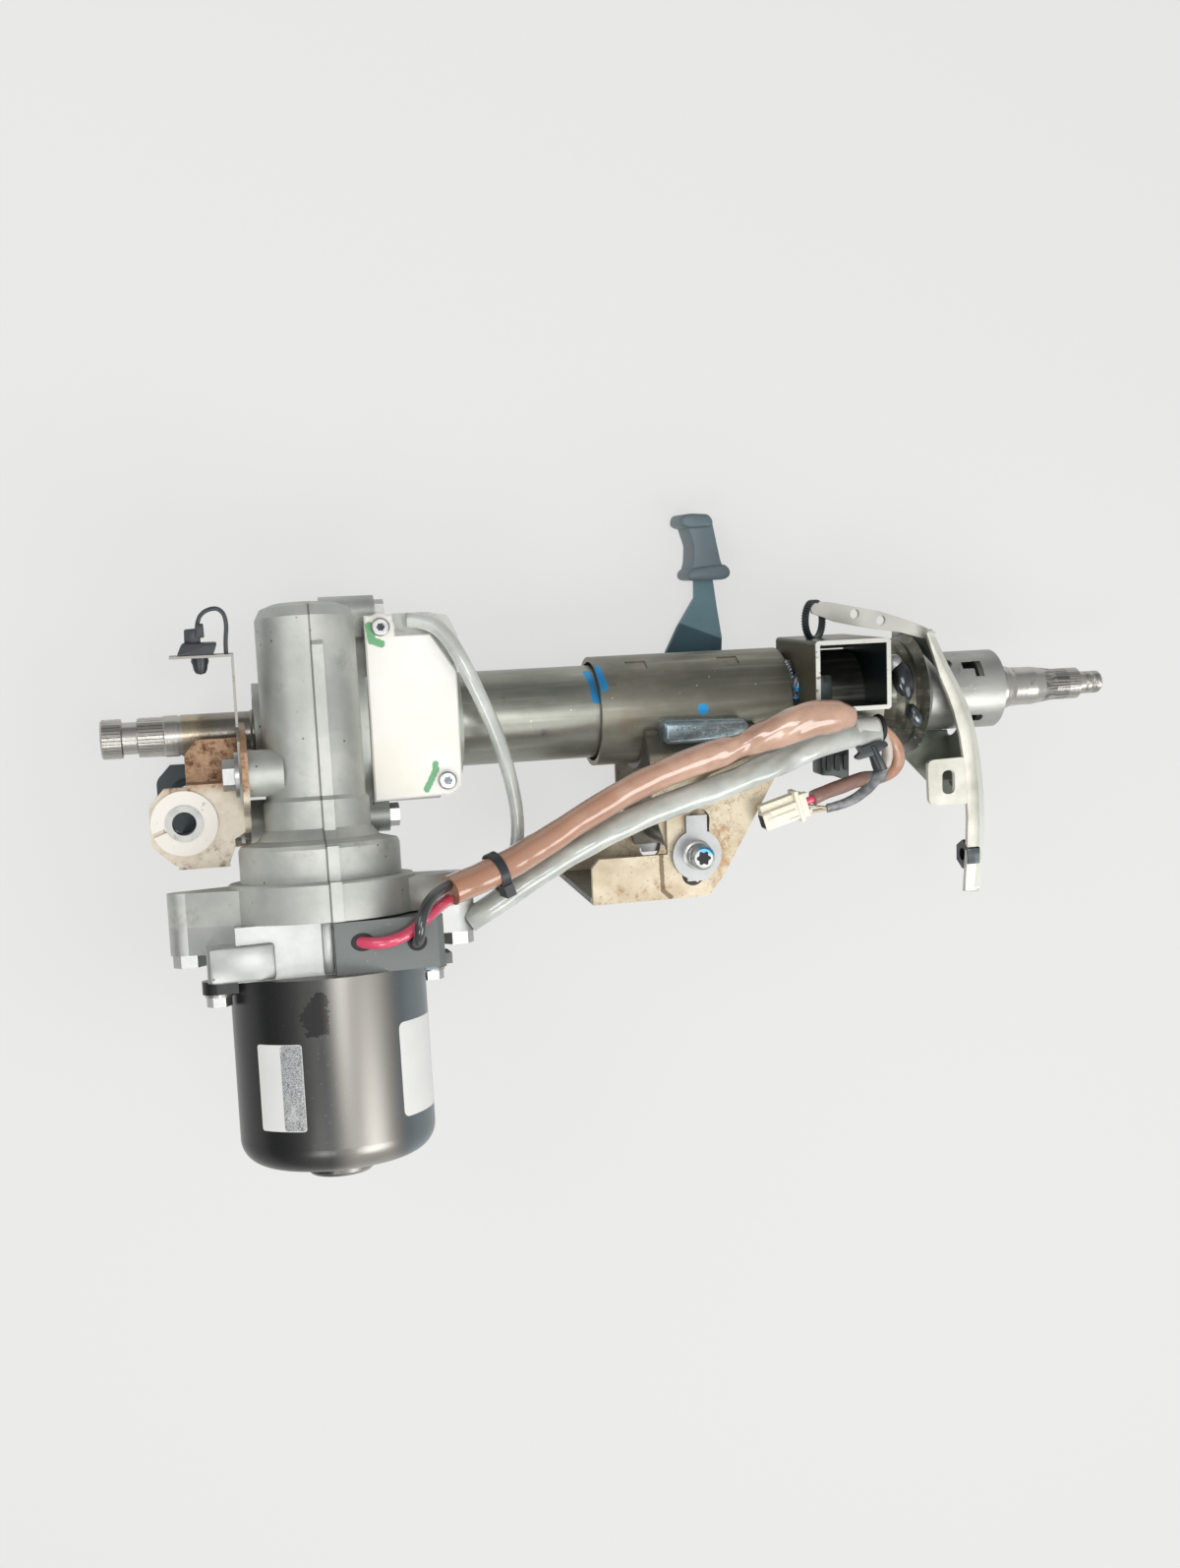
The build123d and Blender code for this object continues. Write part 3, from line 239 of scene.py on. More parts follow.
class Pattern(Tree):  # a Geometry Nodes tree with named sizes
    def __init__(self, name, sizes):
        self.group = bpy.data.node_groups.new(name, "GeometryNodeTree")
        super().__init__(self.group)
        self.addSocket("Geometry", "OUTPUT", "NodeSocketGeometry")
        self.addSocket("Path", "INPUT", "NodeSocketGeometry")
        for key, value in sizes.items():
            self.addSocket(key, "INPUT",
                           "NodeSocketInt" if isinstance(value, int) else "NodeSocketFloat")
        self.entry = self.tree.nodes.new("NodeGroupInput")
        self.sizes = sizes

    def addSocket(self, name, side, kind):
        self.group.interface.new_socket(name, in_out=side, socket_type=kind)

    def read(self, name):
        return Value(self, self.entry.outputs[name])

    def finish(self, shape, finish):
        whole = self.node("GeometryNodeRealizeInstances", None, {0: shape})
        clad = self.node("GeometryNodeSetMaterial", None,
                         {"Geometry": whole, "Material": finishes[finish]})
        self.close("NodeGroupOutput", clad)

    def grow(self, name, path=None):  # a plain mesh of the pattern
        source = show(name + "Source", path or bpy.data.meshes.new(name))
        modifier = source.modifiers.new("pattern", "NODES")
        modifier.node_group = self.group
        for item in self.group.interface.items_tree:
            if item.in_out == "INPUT" and item.name in self.sizes:
                modifier[item.identifier] = self.sizes[item.name]
        return show(name, bake(source))


creaseAngle = math.radians(38)


def dress(piece, finish, body, node=None):
    if finish:
        piece.data.materials.clear()
        piece.data.materials.append(finishes[finish])
    if piece.type == "MESH":
        piece.data.shade_smooth()
        piece.data.set_sharp_from_angle(angle=creaseAngle)
    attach(piece, body)
    if node:
        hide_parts(node)
    return piece


# Materials with marks of their own
def castAluminium(name, dark, light):
    f = Finish(name, (28, 4.0, 0.6), dark, light, (0.3, 0.7))
    f.paint(f.noise(60, 5.0, 0.7).ramp(0.56, 0.78) * 0.45, "7d7c72")
    f.paint(f.specks(210, 0.42) * 0.8, "3d3a33")
    return f, f.noise(900, 2.0)


f, grain = castAluminium("castAluminium", "a9ada7", "c6c7c1")
seam = (1 - (f.axis("X") - 0.0628).size().ramp(0.0003, 0.0006)) * f.axis("Z").ramp(0.06, 0.064)
f.paint(seam * 0.7, "54554f")
f.paint(f.spot(at(153, -84, 72), 0.0052, 0.003), "d6dc5a")
f.surface(f.cloud * 0.16 + 0.42, 0.62, grain, 0.00012, 0.5)

f, grain = castAluminium("adapterAluminium", "a2a5a3", "bebfbc")
f.surface(f.cloud * 0.14 + 0.34, 0.78, grain, 0.0001, 0.4)

f = Finish("coverPaint", (22, 3.0), "e9e8e3", "e4e0d2", (0.35, 0.75))
f.paint(f.noise(45, 4.0, 0.7).ramp(0.62, 0.8) * f.noise(14, 1.0).ramp(0.4, 0.6) * 0.5, "d9cf9c")
f.paint(f.specks(120, 0.32), "6b675a")
green = f.stroke(atDrive(131, 46, 47), atDrive(131.5, 39, 47), 0.0017)
green = green | f.stroke(atDrive(131.5, 39, 47), atDrive(136, 37, 47), 0.0016)
green = green | f.stroke(atDrive(158.4, -22.6, 47), atDrive(158, -26, 47), 0.0012)
green = green | f.stroke(atDrive(158.6, -25, 47), atDrive(153.4, -34.6, 47), 0.0013)
f.paint(green * 0.9, "3f9a5c")
f.surface(f.cloud * 0.1 + 0.32, 0.0, f.noise(300, 2.0), 0.0001, 0.2)

f = Finish("blackPaint")
scuff = f.noise(40, 5.0, 0.65, (1, 0.25, 1))
f.colour = f.mix(scuff.ramp(0.5, 0.8) * 0.5, "4a4b49", "63625e")
f.paint(f.specks(420, 0.5) * 0.5, "8a8a84")
mark = f.spot(atMotor(-12, 46, -133), 0.0062, 0.006) | f.spot(atMotor(-9, 46, -126), 0.0036, 0.005)
mark = mark | f.stroke(atMotor(-16, 46, -140), atMotor(-7, 46, -139), 0.0016, 0.004)
f.paint(mark, "0a0a0a")
x = f.axis("X")
# Painted reflections across the can: a pale sheen band in the middle, blue-grey towards the right
# and a dark left side
f.paint(x.between(0.054, 0.068, 0.08, 0.094) * 0.75, "a5a19a")
f.paint(x.ramp(0.084, 0.096) * 0.5, "7d8b93")
f.paint((1 - x.ramp(0.03, 0.058)) * 0.7, "1c1e1f")
f.surface(scuff * 0.14 + 0.24 + mark * 0.3, 0.6 - mark * 0.6,
          f.noise(500, 2.0) * 0.3 + f.noise(1500, 1.0) * mark * 3, 0.0002, 0.4)

# The blue-grey tones are painted reflection on the satin-black lever, and below the bend line it is
# painted darker as shade
f = Finish("satinBlack", (70, 3.0), "587680", "6d8a92")
foldShadeLine = f.axis("Y") - 0.0778 + (f.axis("X") - 0.2788) * 0.4
f.paint(1 - foldShadeLine.ramp(-0.0006, 0.0006), f.mix(f.cloud, "28434e", "36545f"))
f.surface(f.cloud * 0.15 + 0.34, 0.35, f.noise(700, 2.0), 0.0001, 0.3)

f = Finish("shaftSteel", (45, 4.0, 0.6), "a9a8a3", "c9c6bf")
x = f.axis("X")
rings = f.noise(900, 2.0, 0.5, (1, 0.03, 0.03))
f.paint(x.between(0.0, 0.0015, 0.012, 0.02) * 0.6, "b49f7c")
f.paint(x.between(0.006, 0.012, 0.035, 0.05) * 0.65, "6f6a60")
f.paint(f.noise(160, 4.0, 0.7).ramp(0.6, 0.72) * 0.5, "5b574e")
teeth = x.between(0.4700, 0.4705, 0.4853, 0.4858)
f.paint(teeth * f.noise(1100, 1.0, 0.5, (0.01, 1, 1)).ramp(0.45, 0.55) * 0.75, "5f5d58")
f.surface(rings * 0.16 + 0.22, 0.9, rings, 0.00008, 0.5)

f = Finish("zincSteel", (120, 3.0), "9a9c9c", "c2c2be")
f.paint(f.noise(260, 4.0, 0.7).ramp(0.6, 0.75) * 0.5, "8f8570")
f.paint(f.stroke(at(290, -68.4, 56), at(296, -69.4, 56), 0.0016) * 0.8, "3aa3d8")
f.surface(f.cloud * 0.2 + 0.22, 0.85, f.noise(900, 2.0), 0.00008, 0.4)


def tubeSteel(name, dark, light, rough):
    f = Finish(name, (26, 4.0, 0.65, (0.6, 1, 1)), dark, light, (0.3, 0.72))
    streak = f.noise(240, 4.0, 0.6, (0.05, 1, 1))
    f.paint(streak.ramp(0.5, 0.8) * 0.35, "d0cfc4")
    f.paint(f.noise(90, 5.0, 0.75).ramp(0.6, 0.7) * 0.4, "5a574c")
    f.paint(f.specks(260, 0.4) * 0.7, "dcdad0")
    return f, f.cloud * 0.18 + streak * 0.12 + rough, streak


f, rough, streak = tubeSteel("innerTubeSteel", "878a81", "a7a79d", 0.2)
f.paint(f.stroke(at(244.4, 21, 12), at(246.2, 8, 23), 0.002) * 0.9, "2f9fe0")
f.surface(rough, 0.85, streak, 0.00006, 0.5)

f, rough, streak = tubeSteel("outerTubeSteel", "77766a", "99978a", 0.26)
brown = f.noise(34, 3.0, 0.6).ramp(0.5, 0.75) * (1 - f.axis("Y").ramp(0.03, 0.05))
f.paint(brown * 0.6, "80725a")
scratch = f.noise(120, 6.0, 0.9, (0.4, 1.6, 1)).ramp(0.66, 0.7)
f.paint(scratch * 0.6, "e2e0d6")
blue = f.stroke(at(248.8, 24, 15.8), at(250.4, 14, 25), 0.0017)
blue = blue | f.spot(at(301.6, 0.4, 28.7), 0.0027)
f.paint(blue * 0.92, "2f9fe0")
f.surface(rough, 0.75, streak + scratch * 0.6, 0.00008, 0.5)

f, rough, streak = tubeSteel("upperTubeSteel", "3a3c38", "6d6c60", 0.16)
blue = f.spot(at(357, 6.4, 25.6), 0.0036, 0.003) | f.spot(at(354, 4.5, 26), 0.002, 0.002)
f.paint(blue * 0.95, "1e96de")
f.surface(rough, 0.8, streak, 0.0001, 0.5)

f, rough, streak = tubeSteel("bearingTubeSteel", "9c9d98", "c0c0bb", 0.28)
f.surface(rough, 0.75, streak, 0.00006, 0.4)

sheetGrain, sheetRamp = (45, 4.0, 0.65), (0.3, 0.7)

f = Finish("bracketSteel", sheetGrain, "b3a995", "cbc3b4", sheetRamp)
y = f.axis("Y")
fine = f.noise(170, 6.0, 0.8)
web = f.axis("X").between(-0.012, -0.008, 0.03, 0.034) * y.ramp(0.012, 0.02)
foot = 1 - y.ramp(-0.016, -0.008)
rust = fine.ramp(0.5, 0.66) * (web * 0.9 + foot * 0.35 + 0.12)
f.paint(web * 0.85, f.mix(fine.ramp(0.4, 0.6), "a27c58", "7c5636"))
f.paint(rust, "7a4a2a")
f.paint(fine.ramp(0.56, 0.7) * (foot * 0.5 + web), "3f2a1d")
# The far side, z below 0, is painted dark grey as shade on the far ear
f.paint(1 - f.axis("Z").ramp(-0.02, 0.0), f.mix(f.cloud, "2c353b", "535b5f"))
f.surface(f.cloud * 0.2 + 0.36 + rust * 0.3, 0.45 - rust * 0.3, fine, 0.00015, 0.45)

f = Finish("clampSteel", sheetGrain, "ab9d84", "c9bea8", sheetRamp)
fine = f.noise(150, 6.0, 0.8)
low = 1 - f.axis("Y").ramp(-0.058, -0.042)
rust = fine.ramp(0.52, 0.68) * (low * 0.7 + 0.1)
cracks = 1 - (f.noise(70, 6.0, 0.75) - 0.5).size().ramp(0.004, 0.014)
f.paint(cracks * f.noise(38, 2.0).ramp(0.4, 0.6) * 0.75, "6e5a44")
f.paint(f.specks(330, 0.55) * 0.8, "5d4630")
f.paint(rust, "9a6a40")
f.paint(fine.ramp(0.64, 0.72) * 0.6 * low, "4a3524")
corner = at(272.8, -90, 43.4)
seam = f.stroke(at(272.4, -72, 43.4), corner, 0.0009) | f.stroke(corner, at(277, -94, 43.4), 0.0009)
stain = f.stroke(at(305, -62, 43.4), at(306, -86, 43.4), 0.004, 0.006)
f.paint(seam * 0.8, "54402c")
f.paint(stain * fine.ramp(0.4, 0.6) * 0.8, "9c744c")
# Faces inside the channel, near the middle in z, are painted dark as shade
f.paint((1 - f.axis("Z").size().ramp(0.036, 0.0385)) * 0.75, "2a3238")
f.surface(f.cloud * 0.2 + 0.34 + rust * 0.25, 0.5 - rust * 0.35, fine, 0.00015, 0.4)

# The dark green-grey base is painted shade on the faces turned away from the front; above a height
# the plate shows its own pale colour, and the front faces are painted lighter as lit
f = Finish("plateSteelShaded", sheetGrain, "5a6158", "7f857a", sheetRamp)
fine = f.noise(130, 6.0, 0.75)
f.paint(fine.ramp(0.6, 0.75) * 0.5, "5f5f52")
f.paint(f.axis("Y").ramp(0.066, 0.072), f.mix(f.cloud, "a9aaa2", "cfcec6"))
f.paint(f.axis("Z").ramp(0.0285, 0.0305) * 0.5, "d8d8cf")
f.surface(f.cloud * 0.2 + 0.3, 0.6, fine, 0.0001, 0.35)

f = Finish("lockBoxSteel", (40, 4.0, 0.6), "1b2527", "2c3b3d")
rim = f.axis("Z").ramp(0.0535, 0.0545)
sideways = (f.axis("X") - 0.3363).size().ramp(0.0193, 0.0199)
upward = (f.axis("Y") - 0.0525).size().ramp(0.0171, 0.0177)
f.paint(sideways | upward, f.mix(f.cloud, "4f4c3c", "6a6652"))
f.paint(rim, "d2d2ca")
f.paint(f.noise(300, 4.0, 0.7).ramp(0.6, 0.66) * rim, "6d6c62")
f.surface(f.cloud * 0.15 + 0.25, 0.55, f.noise(200, 4.0), 0.0001, 0.4)

f = Finish("pivotSteel", (120, 3.0), "8f9090", "bdbcb7")  # bright end face; behind it the bore and far collar are painted dark as shade
f.paint(f.noise(260, 4.0, 0.7).ramp(0.58, 0.72) * 0.6, "7b6247")
inside = 1 - f.axis("Z").ramp(0.0512, 0.0518)
f.paint(inside, f.mix(f.cloud, "182430", "2b3d50"))
f.surface(f.cloud * 0.2 + 0.26 + inside * 0.2, 0.8 - inside * 0.5, f.cloud, 0.0001, 0.3)

f = Finish("hookSteel", (120, 3.0), "33373a", "5d6165", (0.35, 0.7))
blue = f.spot(at(355.4, 6.6, 29.4), 0.0036, 0.003) | f.spot(at(352.6, 4.4, 29), 0.0018, 0.002)
f.paint(blue * 0.95, "1e96de")
f.surface(f.cloud * 0.12 + 0.13, 0.8 - blue * 0.7, f.cloud, 0.0002, 0.1)

f = Finish("whiteResin", (60, 3.0), "e6e2da", "d8d3c8")
f.paint(f.noise(200, 5.0, 0.8).ramp(0.62, 0.7) * 0.7, "7a6a58")
# The far side, z below 0, of each resin part is painted dark as shade
f.paint(1 - f.axis("Z").ramp(0.0, 0.002), "1f2529")
f.surface(f.cloud * 0.1 + 0.4, 0.0, f.noise(500, 2.0), 0.0001, 0.2)

f = Finish("weldPadSteel", (70, 5.0, 0.7, (0.5, 1, 1)), "66757b", "9caaae", (0.3, 0.7))
scuff = f.noise(260, 5.0, 0.8).ramp(0.56, 0.64)
f.paint(scuff * 0.35, "cdd6d8")
f.surface(f.cloud * 0.16 + 0.18, 0.7, scuff, 0.0002, 0.5)

f = Finish("lockPocket", (90, 3.0), "23292a", "363b38")
f.paint(f.axis("Z").ramp(0.0296, 0.0304) * f.cloud.ramp(0.3, 0.6), "5f6a68")
f.surface(f.cloud * 0.2 + 0.24, 0.6, f.cloud, 0.0001, 0.3)

f = Finish("leadVinyl", (55, 3.0), "9a6f5c", "c39a80", (0.25, 0.75))
x = f.axis("X")
f.paint(1 - x.ramp(0.3485, 0.3505), f.mix(f.cloud, "6a4d44", "9a7a6e"))
taped = x.between(0.3455, 0.3475, 0.357, 0.3585) * (1 - f.axis("Y").ramp(0.0, 0.004))
f.paint(taped, f.mix(f.noise(200, 3.0), "4c4c4a", "8c8b88"))
f.surface(f.cloud * 0.14 + 0.2, 0.0, f.noise(240, 3.0), 0.0003, 0.4, Coat_Weight=0.3,
          Coat_Roughness=0.12)

f = Finish("greyTape", (150, 4.0, 0.7), "55565a", "8d8f90", (0.3, 0.7))
f.paint(f.axis("Y").ramp(0.0, 0.006), f.mix(f.cloud, "b6aca2", "d6cfc6"))
f.surface(f.cloud * 0.2 + 0.26, 0.0, f.cloud, 0.0003, 0.4)

# The grey printed band of a label, without any sign on it
f = Finish("smudgedBand", (1500, 4.0, 0.8, (1, 1.6, 1)), "55565a", "bebfbf", (0.42, 0.56))
fade = f.noise(160, 3.0)
f.paint(fade.ramp(0.5, 0.75) * 0.6, "d4d4d2")
f.surface(fade * 0.1 + 0.34, 0.0, f.cloud, 0.00004, 0.2)


def vinyl(name, dark, light, rough, clear=0.0, start=None):
    f = Finish(name, (55, 3.0, 0.55), dark, light, (0.25, 0.75))
    if start:
        f.colour = f.mix(f.axis("X").ramp(0.14, 0.28), f.mix(f.cloud, start, dark), f.colour)
    f.paint(f.noise(180, 5.0, 0.7).ramp(0.66, 0.74) * 0.35, "4c3a30")
    f.surface(f.cloud * 0.12 + rough, 0.0, f.noise(160, 3.0, 0.6), 0.0004, 0.35, Coat_Weight=0.8,
              Coat_Roughness=0.06, Subsurface_Weight=clear,
              Subsurface_Radius=(0.004, 0.003, 0.002), Subsurface_Scale=1.0)


vinyl("brownVinyl", "ab8672", "cdaa94", 0.13, 0.1, "a87454")
vinyl("greyVinyl", "9fa49d", "c4c8c2", 0.18, 0.2)
vinyl("cableGrey", "aaada8", "c6c8c3", 0.2, 0.05)
vinyl("redVinyl", "c23a58", "e0506e", 0.22)
vinyl("blackVinyl", "242626", "3b3d3c", 0.24)


# Plain materials: stain and dots give what the mask is made with, how strong it is and its colour
def plain(name, grain, dark, light, rough, metal=0.0, bump=None, strength=0.3, depth=0.0001,
          ramp=None, stain=None, dots=None, **fixed):
    f = Finish(name, grain, dark, light, ramp)
    if stain:
        f.paint(f.noise(*stain[0]).ramp(*stain[1]) * stain[2], stain[3])
    if dots:
        f.paint(f.specks(*dots[0]) * dots[1], dots[2])
    f.surface(f.cloud * rough[0] + rough[1], metal, f.noise(*bump) if bump else f.cloud, depth,
              strength, **fixed)


plain("gripPlastic", (60, 3.0), "55656c", "6c7b81", (0.12, 0.36), bump=(1600, 2.0), strength=0.35,
      dots=((300, 0.4), 0.4, "3a444a"))
plain("plateRimSteel", sheetGrain, "b2b1a4", "cfcec4", (0.2, 0.3), 0.5, (130, 6.0, 0.75), 0.35,
      ramp=sheetRamp, stain=((130, 6.0, 0.75), (0.62, 0.75), 0.5, "7a7462"))
plain("guideSteel", (90, 3.0), "8e9091", "b4b5b4", (0.2, 0.3), 0.75, (500, 3.0), 0.4,
      stain=((220, 4.0, 0.7), (0.6, 0.72), 0.5, "6d665a"))
plain("clipSteel", (120, 3.0), "7d7c76", "a5a39b", (0.2, 0.36), 0.6,
      stain=((240, 4.0, 0.7), (0.58, 0.7), 0.6, "6a553c"))
plain("weldSteel", (110, 4.0, 0.6), "43484b", "7d8386", (0.14, 0.16), 0.8, depth=0.0002,
      ramp=(0.35, 0.7), stain=((320, 4.0, 0.7), (0.58, 0.66), 0.5, "2e2f2c"))
plain("blackPlastic", (90, 3.0), "1d2226", "343a3f", (0.15, 0.3), bump=(900, 2.0))
plain("terminalResin", (50, 3.0), "5f6563", "717775", (0.15, 0.38), bump=(800, 2.0),
      dots=((420, 0.45), 0.6, "a9aca8"))
plain("ivoryResin", (80, 3.0), "f0ebd6", "e5decb", (0.1, 0.34), bump=(600, 2.0),
      stain=((210, 4.0, 0.8), (0.66, 0.72), 0.7, "8a7440"), Subsurface_Weight=0.2,
      Subsurface_Radius=(0.003, 0.003, 0.002), Subsurface_Scale=1.0)
plain("labelFilm", (40, 2.0), "e3e3e0", "d6d6d3", (0.1, 0.34), bump=(900, 1.0), strength=0.2,
      depth=0.00005)
# Near black, for a black ring and for painted shade in holes, openings and recesses
plain("blackAndHoleShade", (200, 2.0), "0e1012", "181b1d", (0.2, 0.5), bump=(800, 2.0), strength=0.2,
      depth=0.00005)
plain("collarResin", (120, 3.0), "b9bab4", "d6d6d0", (0.14, 0.22), bump=(400, 3.0), Coat_Weight=0.4)
plain("bareStrands", (1400, 2.0, 0.5, (0.2, 1, 1)), "8c7a5c", "cfc6ae", (0.2, 0.3), 0.6,
      strength=0.5)
for name, dark, light, metal, rough in (("magnetGrey", "333333", "4a4a4a", 0.6, 0.4),
                                        ("copperWinding", "8d4f2b", "b87346", 0.9, 0.3),
                                        ("circuitBoard", "21523a", "2e6b45", 0.0, 0.4),
                                        ("sealRubber", "1c1c1c", "2a2a2a", 0.0, 0.55)):
    plain(name, (90, 3.0), dark, light, (0.15, rough), metal, (500, 2.0), 1.0, 0.0002)

coverings = {
    "castAluminium": ["gear_housing", "sensor_housing"], "adapterAluminium": ["motor_adapter"],
    "coverPaint": ["sensor_cover"], "blackPaint": ["motor_can", "motor_plate"],
    "satinBlack": ["tilt_lever"], "hookSteel": ["plate_nut"],
    "shaftSteel": ["output_shaft", "upper_shaft", "input_shaft", "torsion_bar", "worm_shaft",
                   "armature_shaft", "wheel_hub", "worm_coupling", "drive_bearings",
                   "output_bearings", "upper_bearing"],
    "zincSteel": ["cover_screws", "housing_bolts", "drive_bolts", "bracket_bolts", "cam_plate",
                  "tilt_bolt"],
    "clipSteel": ["clip_bracket"], "pivotSteel": ["pivot_collars"], "guideSteel": ["guide_plates"],
    "innerTubeSteel": ["inner_tube"], "outerTubeSteel": ["outer_tube"],
    "upperTubeSteel": ["upper_tube"], "bracketSteel": ["lower_bracket"],
    "clampSteel": ["vehicle_bracket", "tilt_bracket"], "plateSteelShaded": ["upper_plate"],
    "bearingTubeSteel": ["bearing_tube"], "lockBoxSteel": ["lock_box"],
    "whiteResin": ["pivot_bushes", "slide_bush", "wheel_gear"],
    "blackPlastic": ["cable_tie", "brush_holder"], "terminalResin": ["terminal_block"],
    "magnetGrey": ["motor_magnets"], "copperWinding": ["armature", "sensor_coil"],
    "circuitBoard": ["sensor_board"], "sealRubber": ["oil_seal"],
}
for finish, covered in coverings.items():
    for node in covered:
        cadNodes[node].data.materials.clear()
        cadNodes[node].data.materials.append(finishes[finish])
print("materials made:", len(finishes))


# Rigid details: closed forms built from outlines, turned profiles and patches
def toMesh(name, build):
    mesh = bpy.data.meshes.new(name)
    build.to_mesh(mesh)
    build.free()
    return mesh


def meshPiece(name, build):
    bmesh.ops.recalc_face_normals(build, faces=build.faces)
    return show(name, toMesh(name, build))


def makePiece(name, build, finish, body, node=None):
    return dress(meshPiece(name, build), finish, body, node)


def bridge(build, low, high):  # faces between two rings of as many corners
    for k in range(len(low)):
        n = (k + 1) % len(low)
        build.faces.new((low[k], low[n], high[n], high[k]))


def spoke(side, other, turn):
    return side * math.cos(turn) + other * math.sin(turn)


def fullTurn(count):
    return [2 * math.pi * k / count for k in range(count)]


def aheadAt(path, i):
    return (path[min(i + 1, len(path) - 1)] - path[max(i - 1, 0)]).normalized()


def rounded(outline, radius, steps=4):
    result = []
    for i, corner in enumerate(outline):
        corner = Vector(corner)
        ends = []
        for other in (outline[i - 1], outline[(i + 1) % len(outline)]):
            way = Vector(other) - corner
            ends.append(corner + way.normalized() * min(radius, way.length * 0.45))
        for k in range(steps + 1):
            t = k / steps
            result.append(ends[0] * (1 - t) ** 2 + corner * 2 * t * (1 - t) + ends[1] * t ** 2)
    return result


def lobed(middle, wide, tall, depth=0.0, count=60):  # an ellipse, or a star of six lobes
    result = []
    for turn in fullTurn(count):
        reach = 1 + depth * math.cos(6 * turn)
        result.append((middle[0] + wide * reach * math.cos(turn),
                       middle[1] + tall * reach * math.sin(turn)))
    return result


def addPrism(build, outline, low, high, soft=0.0, place=at, steps=2):
    made = bmesh.new()
    rings = [[made.verts.new(place(a, b, level)) for a, b in outline] for level in (low, high)]
    for ring in rings:
        made.faces.new(ring)
    bridge(made, *rings)
    bmesh.ops.recalc_face_normals(made, faces=made.faces)
    if soft:
        rims = {edge for face in made.faces if len(face.verts) > 4 or len(outline) == 4
                for edge in face.edges}
        bmesh.ops.bevel(made, geom=list(rims), offset=soft / 1000, segments=steps, profile=0.5,
                        affect="EDGES", clamp_overlap=True)
    mesh = toMesh("part", made)
    build.from_mesh(mesh)
    bpy.data.meshes.remove(mesh)


def makePrisms(name, rows, finish, body, node=None, place=at, steps=2):
    build = bmesh.new()
    for outline, low, high, soft in rows:
        addPrism(build, outline, low, high, soft, place, steps)
    return makePiece(name, build, finish, body, node)


def addTurned(build, centre, axis, profile, sides=40, ring=False):
    axis = axis.normalized()
    side = axis.orthogonal().normalized()
    other = axis.cross(side)
    rings = []
    for along, radius in profile:
        middle = centre + axis * along / 1000
        turns = fullTurn(sides) if radius else [0]
        rings.append([build.verts.new(middle + spoke(side, other, turn) * radius / 1000)
                      for turn in turns])
    pairs = list(zip(rings, rings[1:])) + ([(rings[-1], rings[0])] if ring else [])
    for low, high in pairs:
        if len(high) > 1:
            bridge(build, low, high)
        else:
            for k in range(sides):
                build.faces.new((low[k], low[(k + 1) % sides], high[0]))
    if not ring:
        for end in (rings[0], rings[-1]):
            if len(end) > 1:
                build.faces.new(end)


def addPatch(build, where, width, height, corner, rise, sink, steps=32):
    grids = []
    for level in (-sink, rise):
        grid = []
        for i in range(steps + 1):
            v = math.sin(math.pi * (i / steps - 0.5))
            over = max(0.0, abs(v) * height / 2 - (height / 2 - corner))
            half = width / 2 - corner + math.sqrt(max(0.0, corner ** 2 - over ** 2))
            grid.append([build.verts.new(where(half * math.sin(math.pi * (j / steps - 0.5)),
                                               v * height / 2, level)) for j in range(steps + 1)])
        for i in range(steps):
            for j in range(steps):
                build.faces.new((grid[i][j], grid[i][j + 1], grid[i + 1][j + 1], grid[i + 1][j]))
        grids.append(grid)
    rim = [(0, j) for j in range(steps)] + [(i, steps) for i in range(steps)]
    rim += [(steps, j) for j in range(steps, 0, -1)] + [(i, 0) for i in range(steps, 0, -1)]
    bridge(build, *([grid[i][j] for i, j in rim] for grid in grids))


def band(path, width):  # outline of a strip along a flat path
    sides = ([], [])
    for i, point in enumerate(path):
        ahead = aheadAt(path, i)
        across = Vector((-ahead.y, ahead.x)) * width / 2
        sides[0].append(point + across)
        sides[1].append(point - across)
    return sides[0] + sides[1][::-1]


def smoothPath(points, steps=6):
    points = [Vector(point) for point in points]
    ends = [points[0]] + points + [points[-1]]
    result = []
    for a, b, c, d in zip(ends, ends[1:], ends[2:], ends[3:]):
        for k in range(steps):
            t = k / steps
            result.append(0.5 * (2 * b + (c - a) * t + (2 * a - 5 * b + 4 * c - d) * t ** 2
                                 + (3 * b - a - 3 * c + d) * t ** 3))
    return result + [points[-1]]


# Cords and sleeves, along the routes of the solids that they stand for
def splineCurve(name, route, bevel=0.0):
    curve = bpy.data.curves.new(name, "CURVE")
    curve.dimensions = "3D"
    curve.resolution_u = 12
    curve.bevel_depth = bevel
    curve.bevel_resolution = 5
    curve.use_fill_caps = True
    spline = curve.splines.new("NURBS")
    spline.points.add(len(route) - 1)
    for point, stop in zip(spline.points, route):
        point.co = (*at(*stop), 1)
    spline.order_u = 3
    spline.use_endpoint_u = True
    return curve


def evenly(route, spacing):  # the spline of a route as points with even gaps, and its length
    mesh = bake(show("line", splineCurve("line", route)))
    points = [vertex.co.copy() for vertex in mesh.vertices]
    bpy.data.meshes.remove(mesh)
    lengths = [0.0]
    for before, after in zip(points, points[1:]):
        lengths.append(lengths[-1] + (after - before).length)
    count = max(2, round(lengths[-1] / spacing))
    spaced, k = [], 0
    for i in range(count + 1):
        reach = lengths[-1] * i / count
        while k < len(points) - 2 and lengths[k + 1] < reach:
            k += 1
        share = (reach - lengths[k]) / max(lengths[k + 1] - lengths[k], 1e-9)
        spaced.append(points[k].lerp(points[k + 1], min(share, 1)))
    return spaced, lengths[-1]


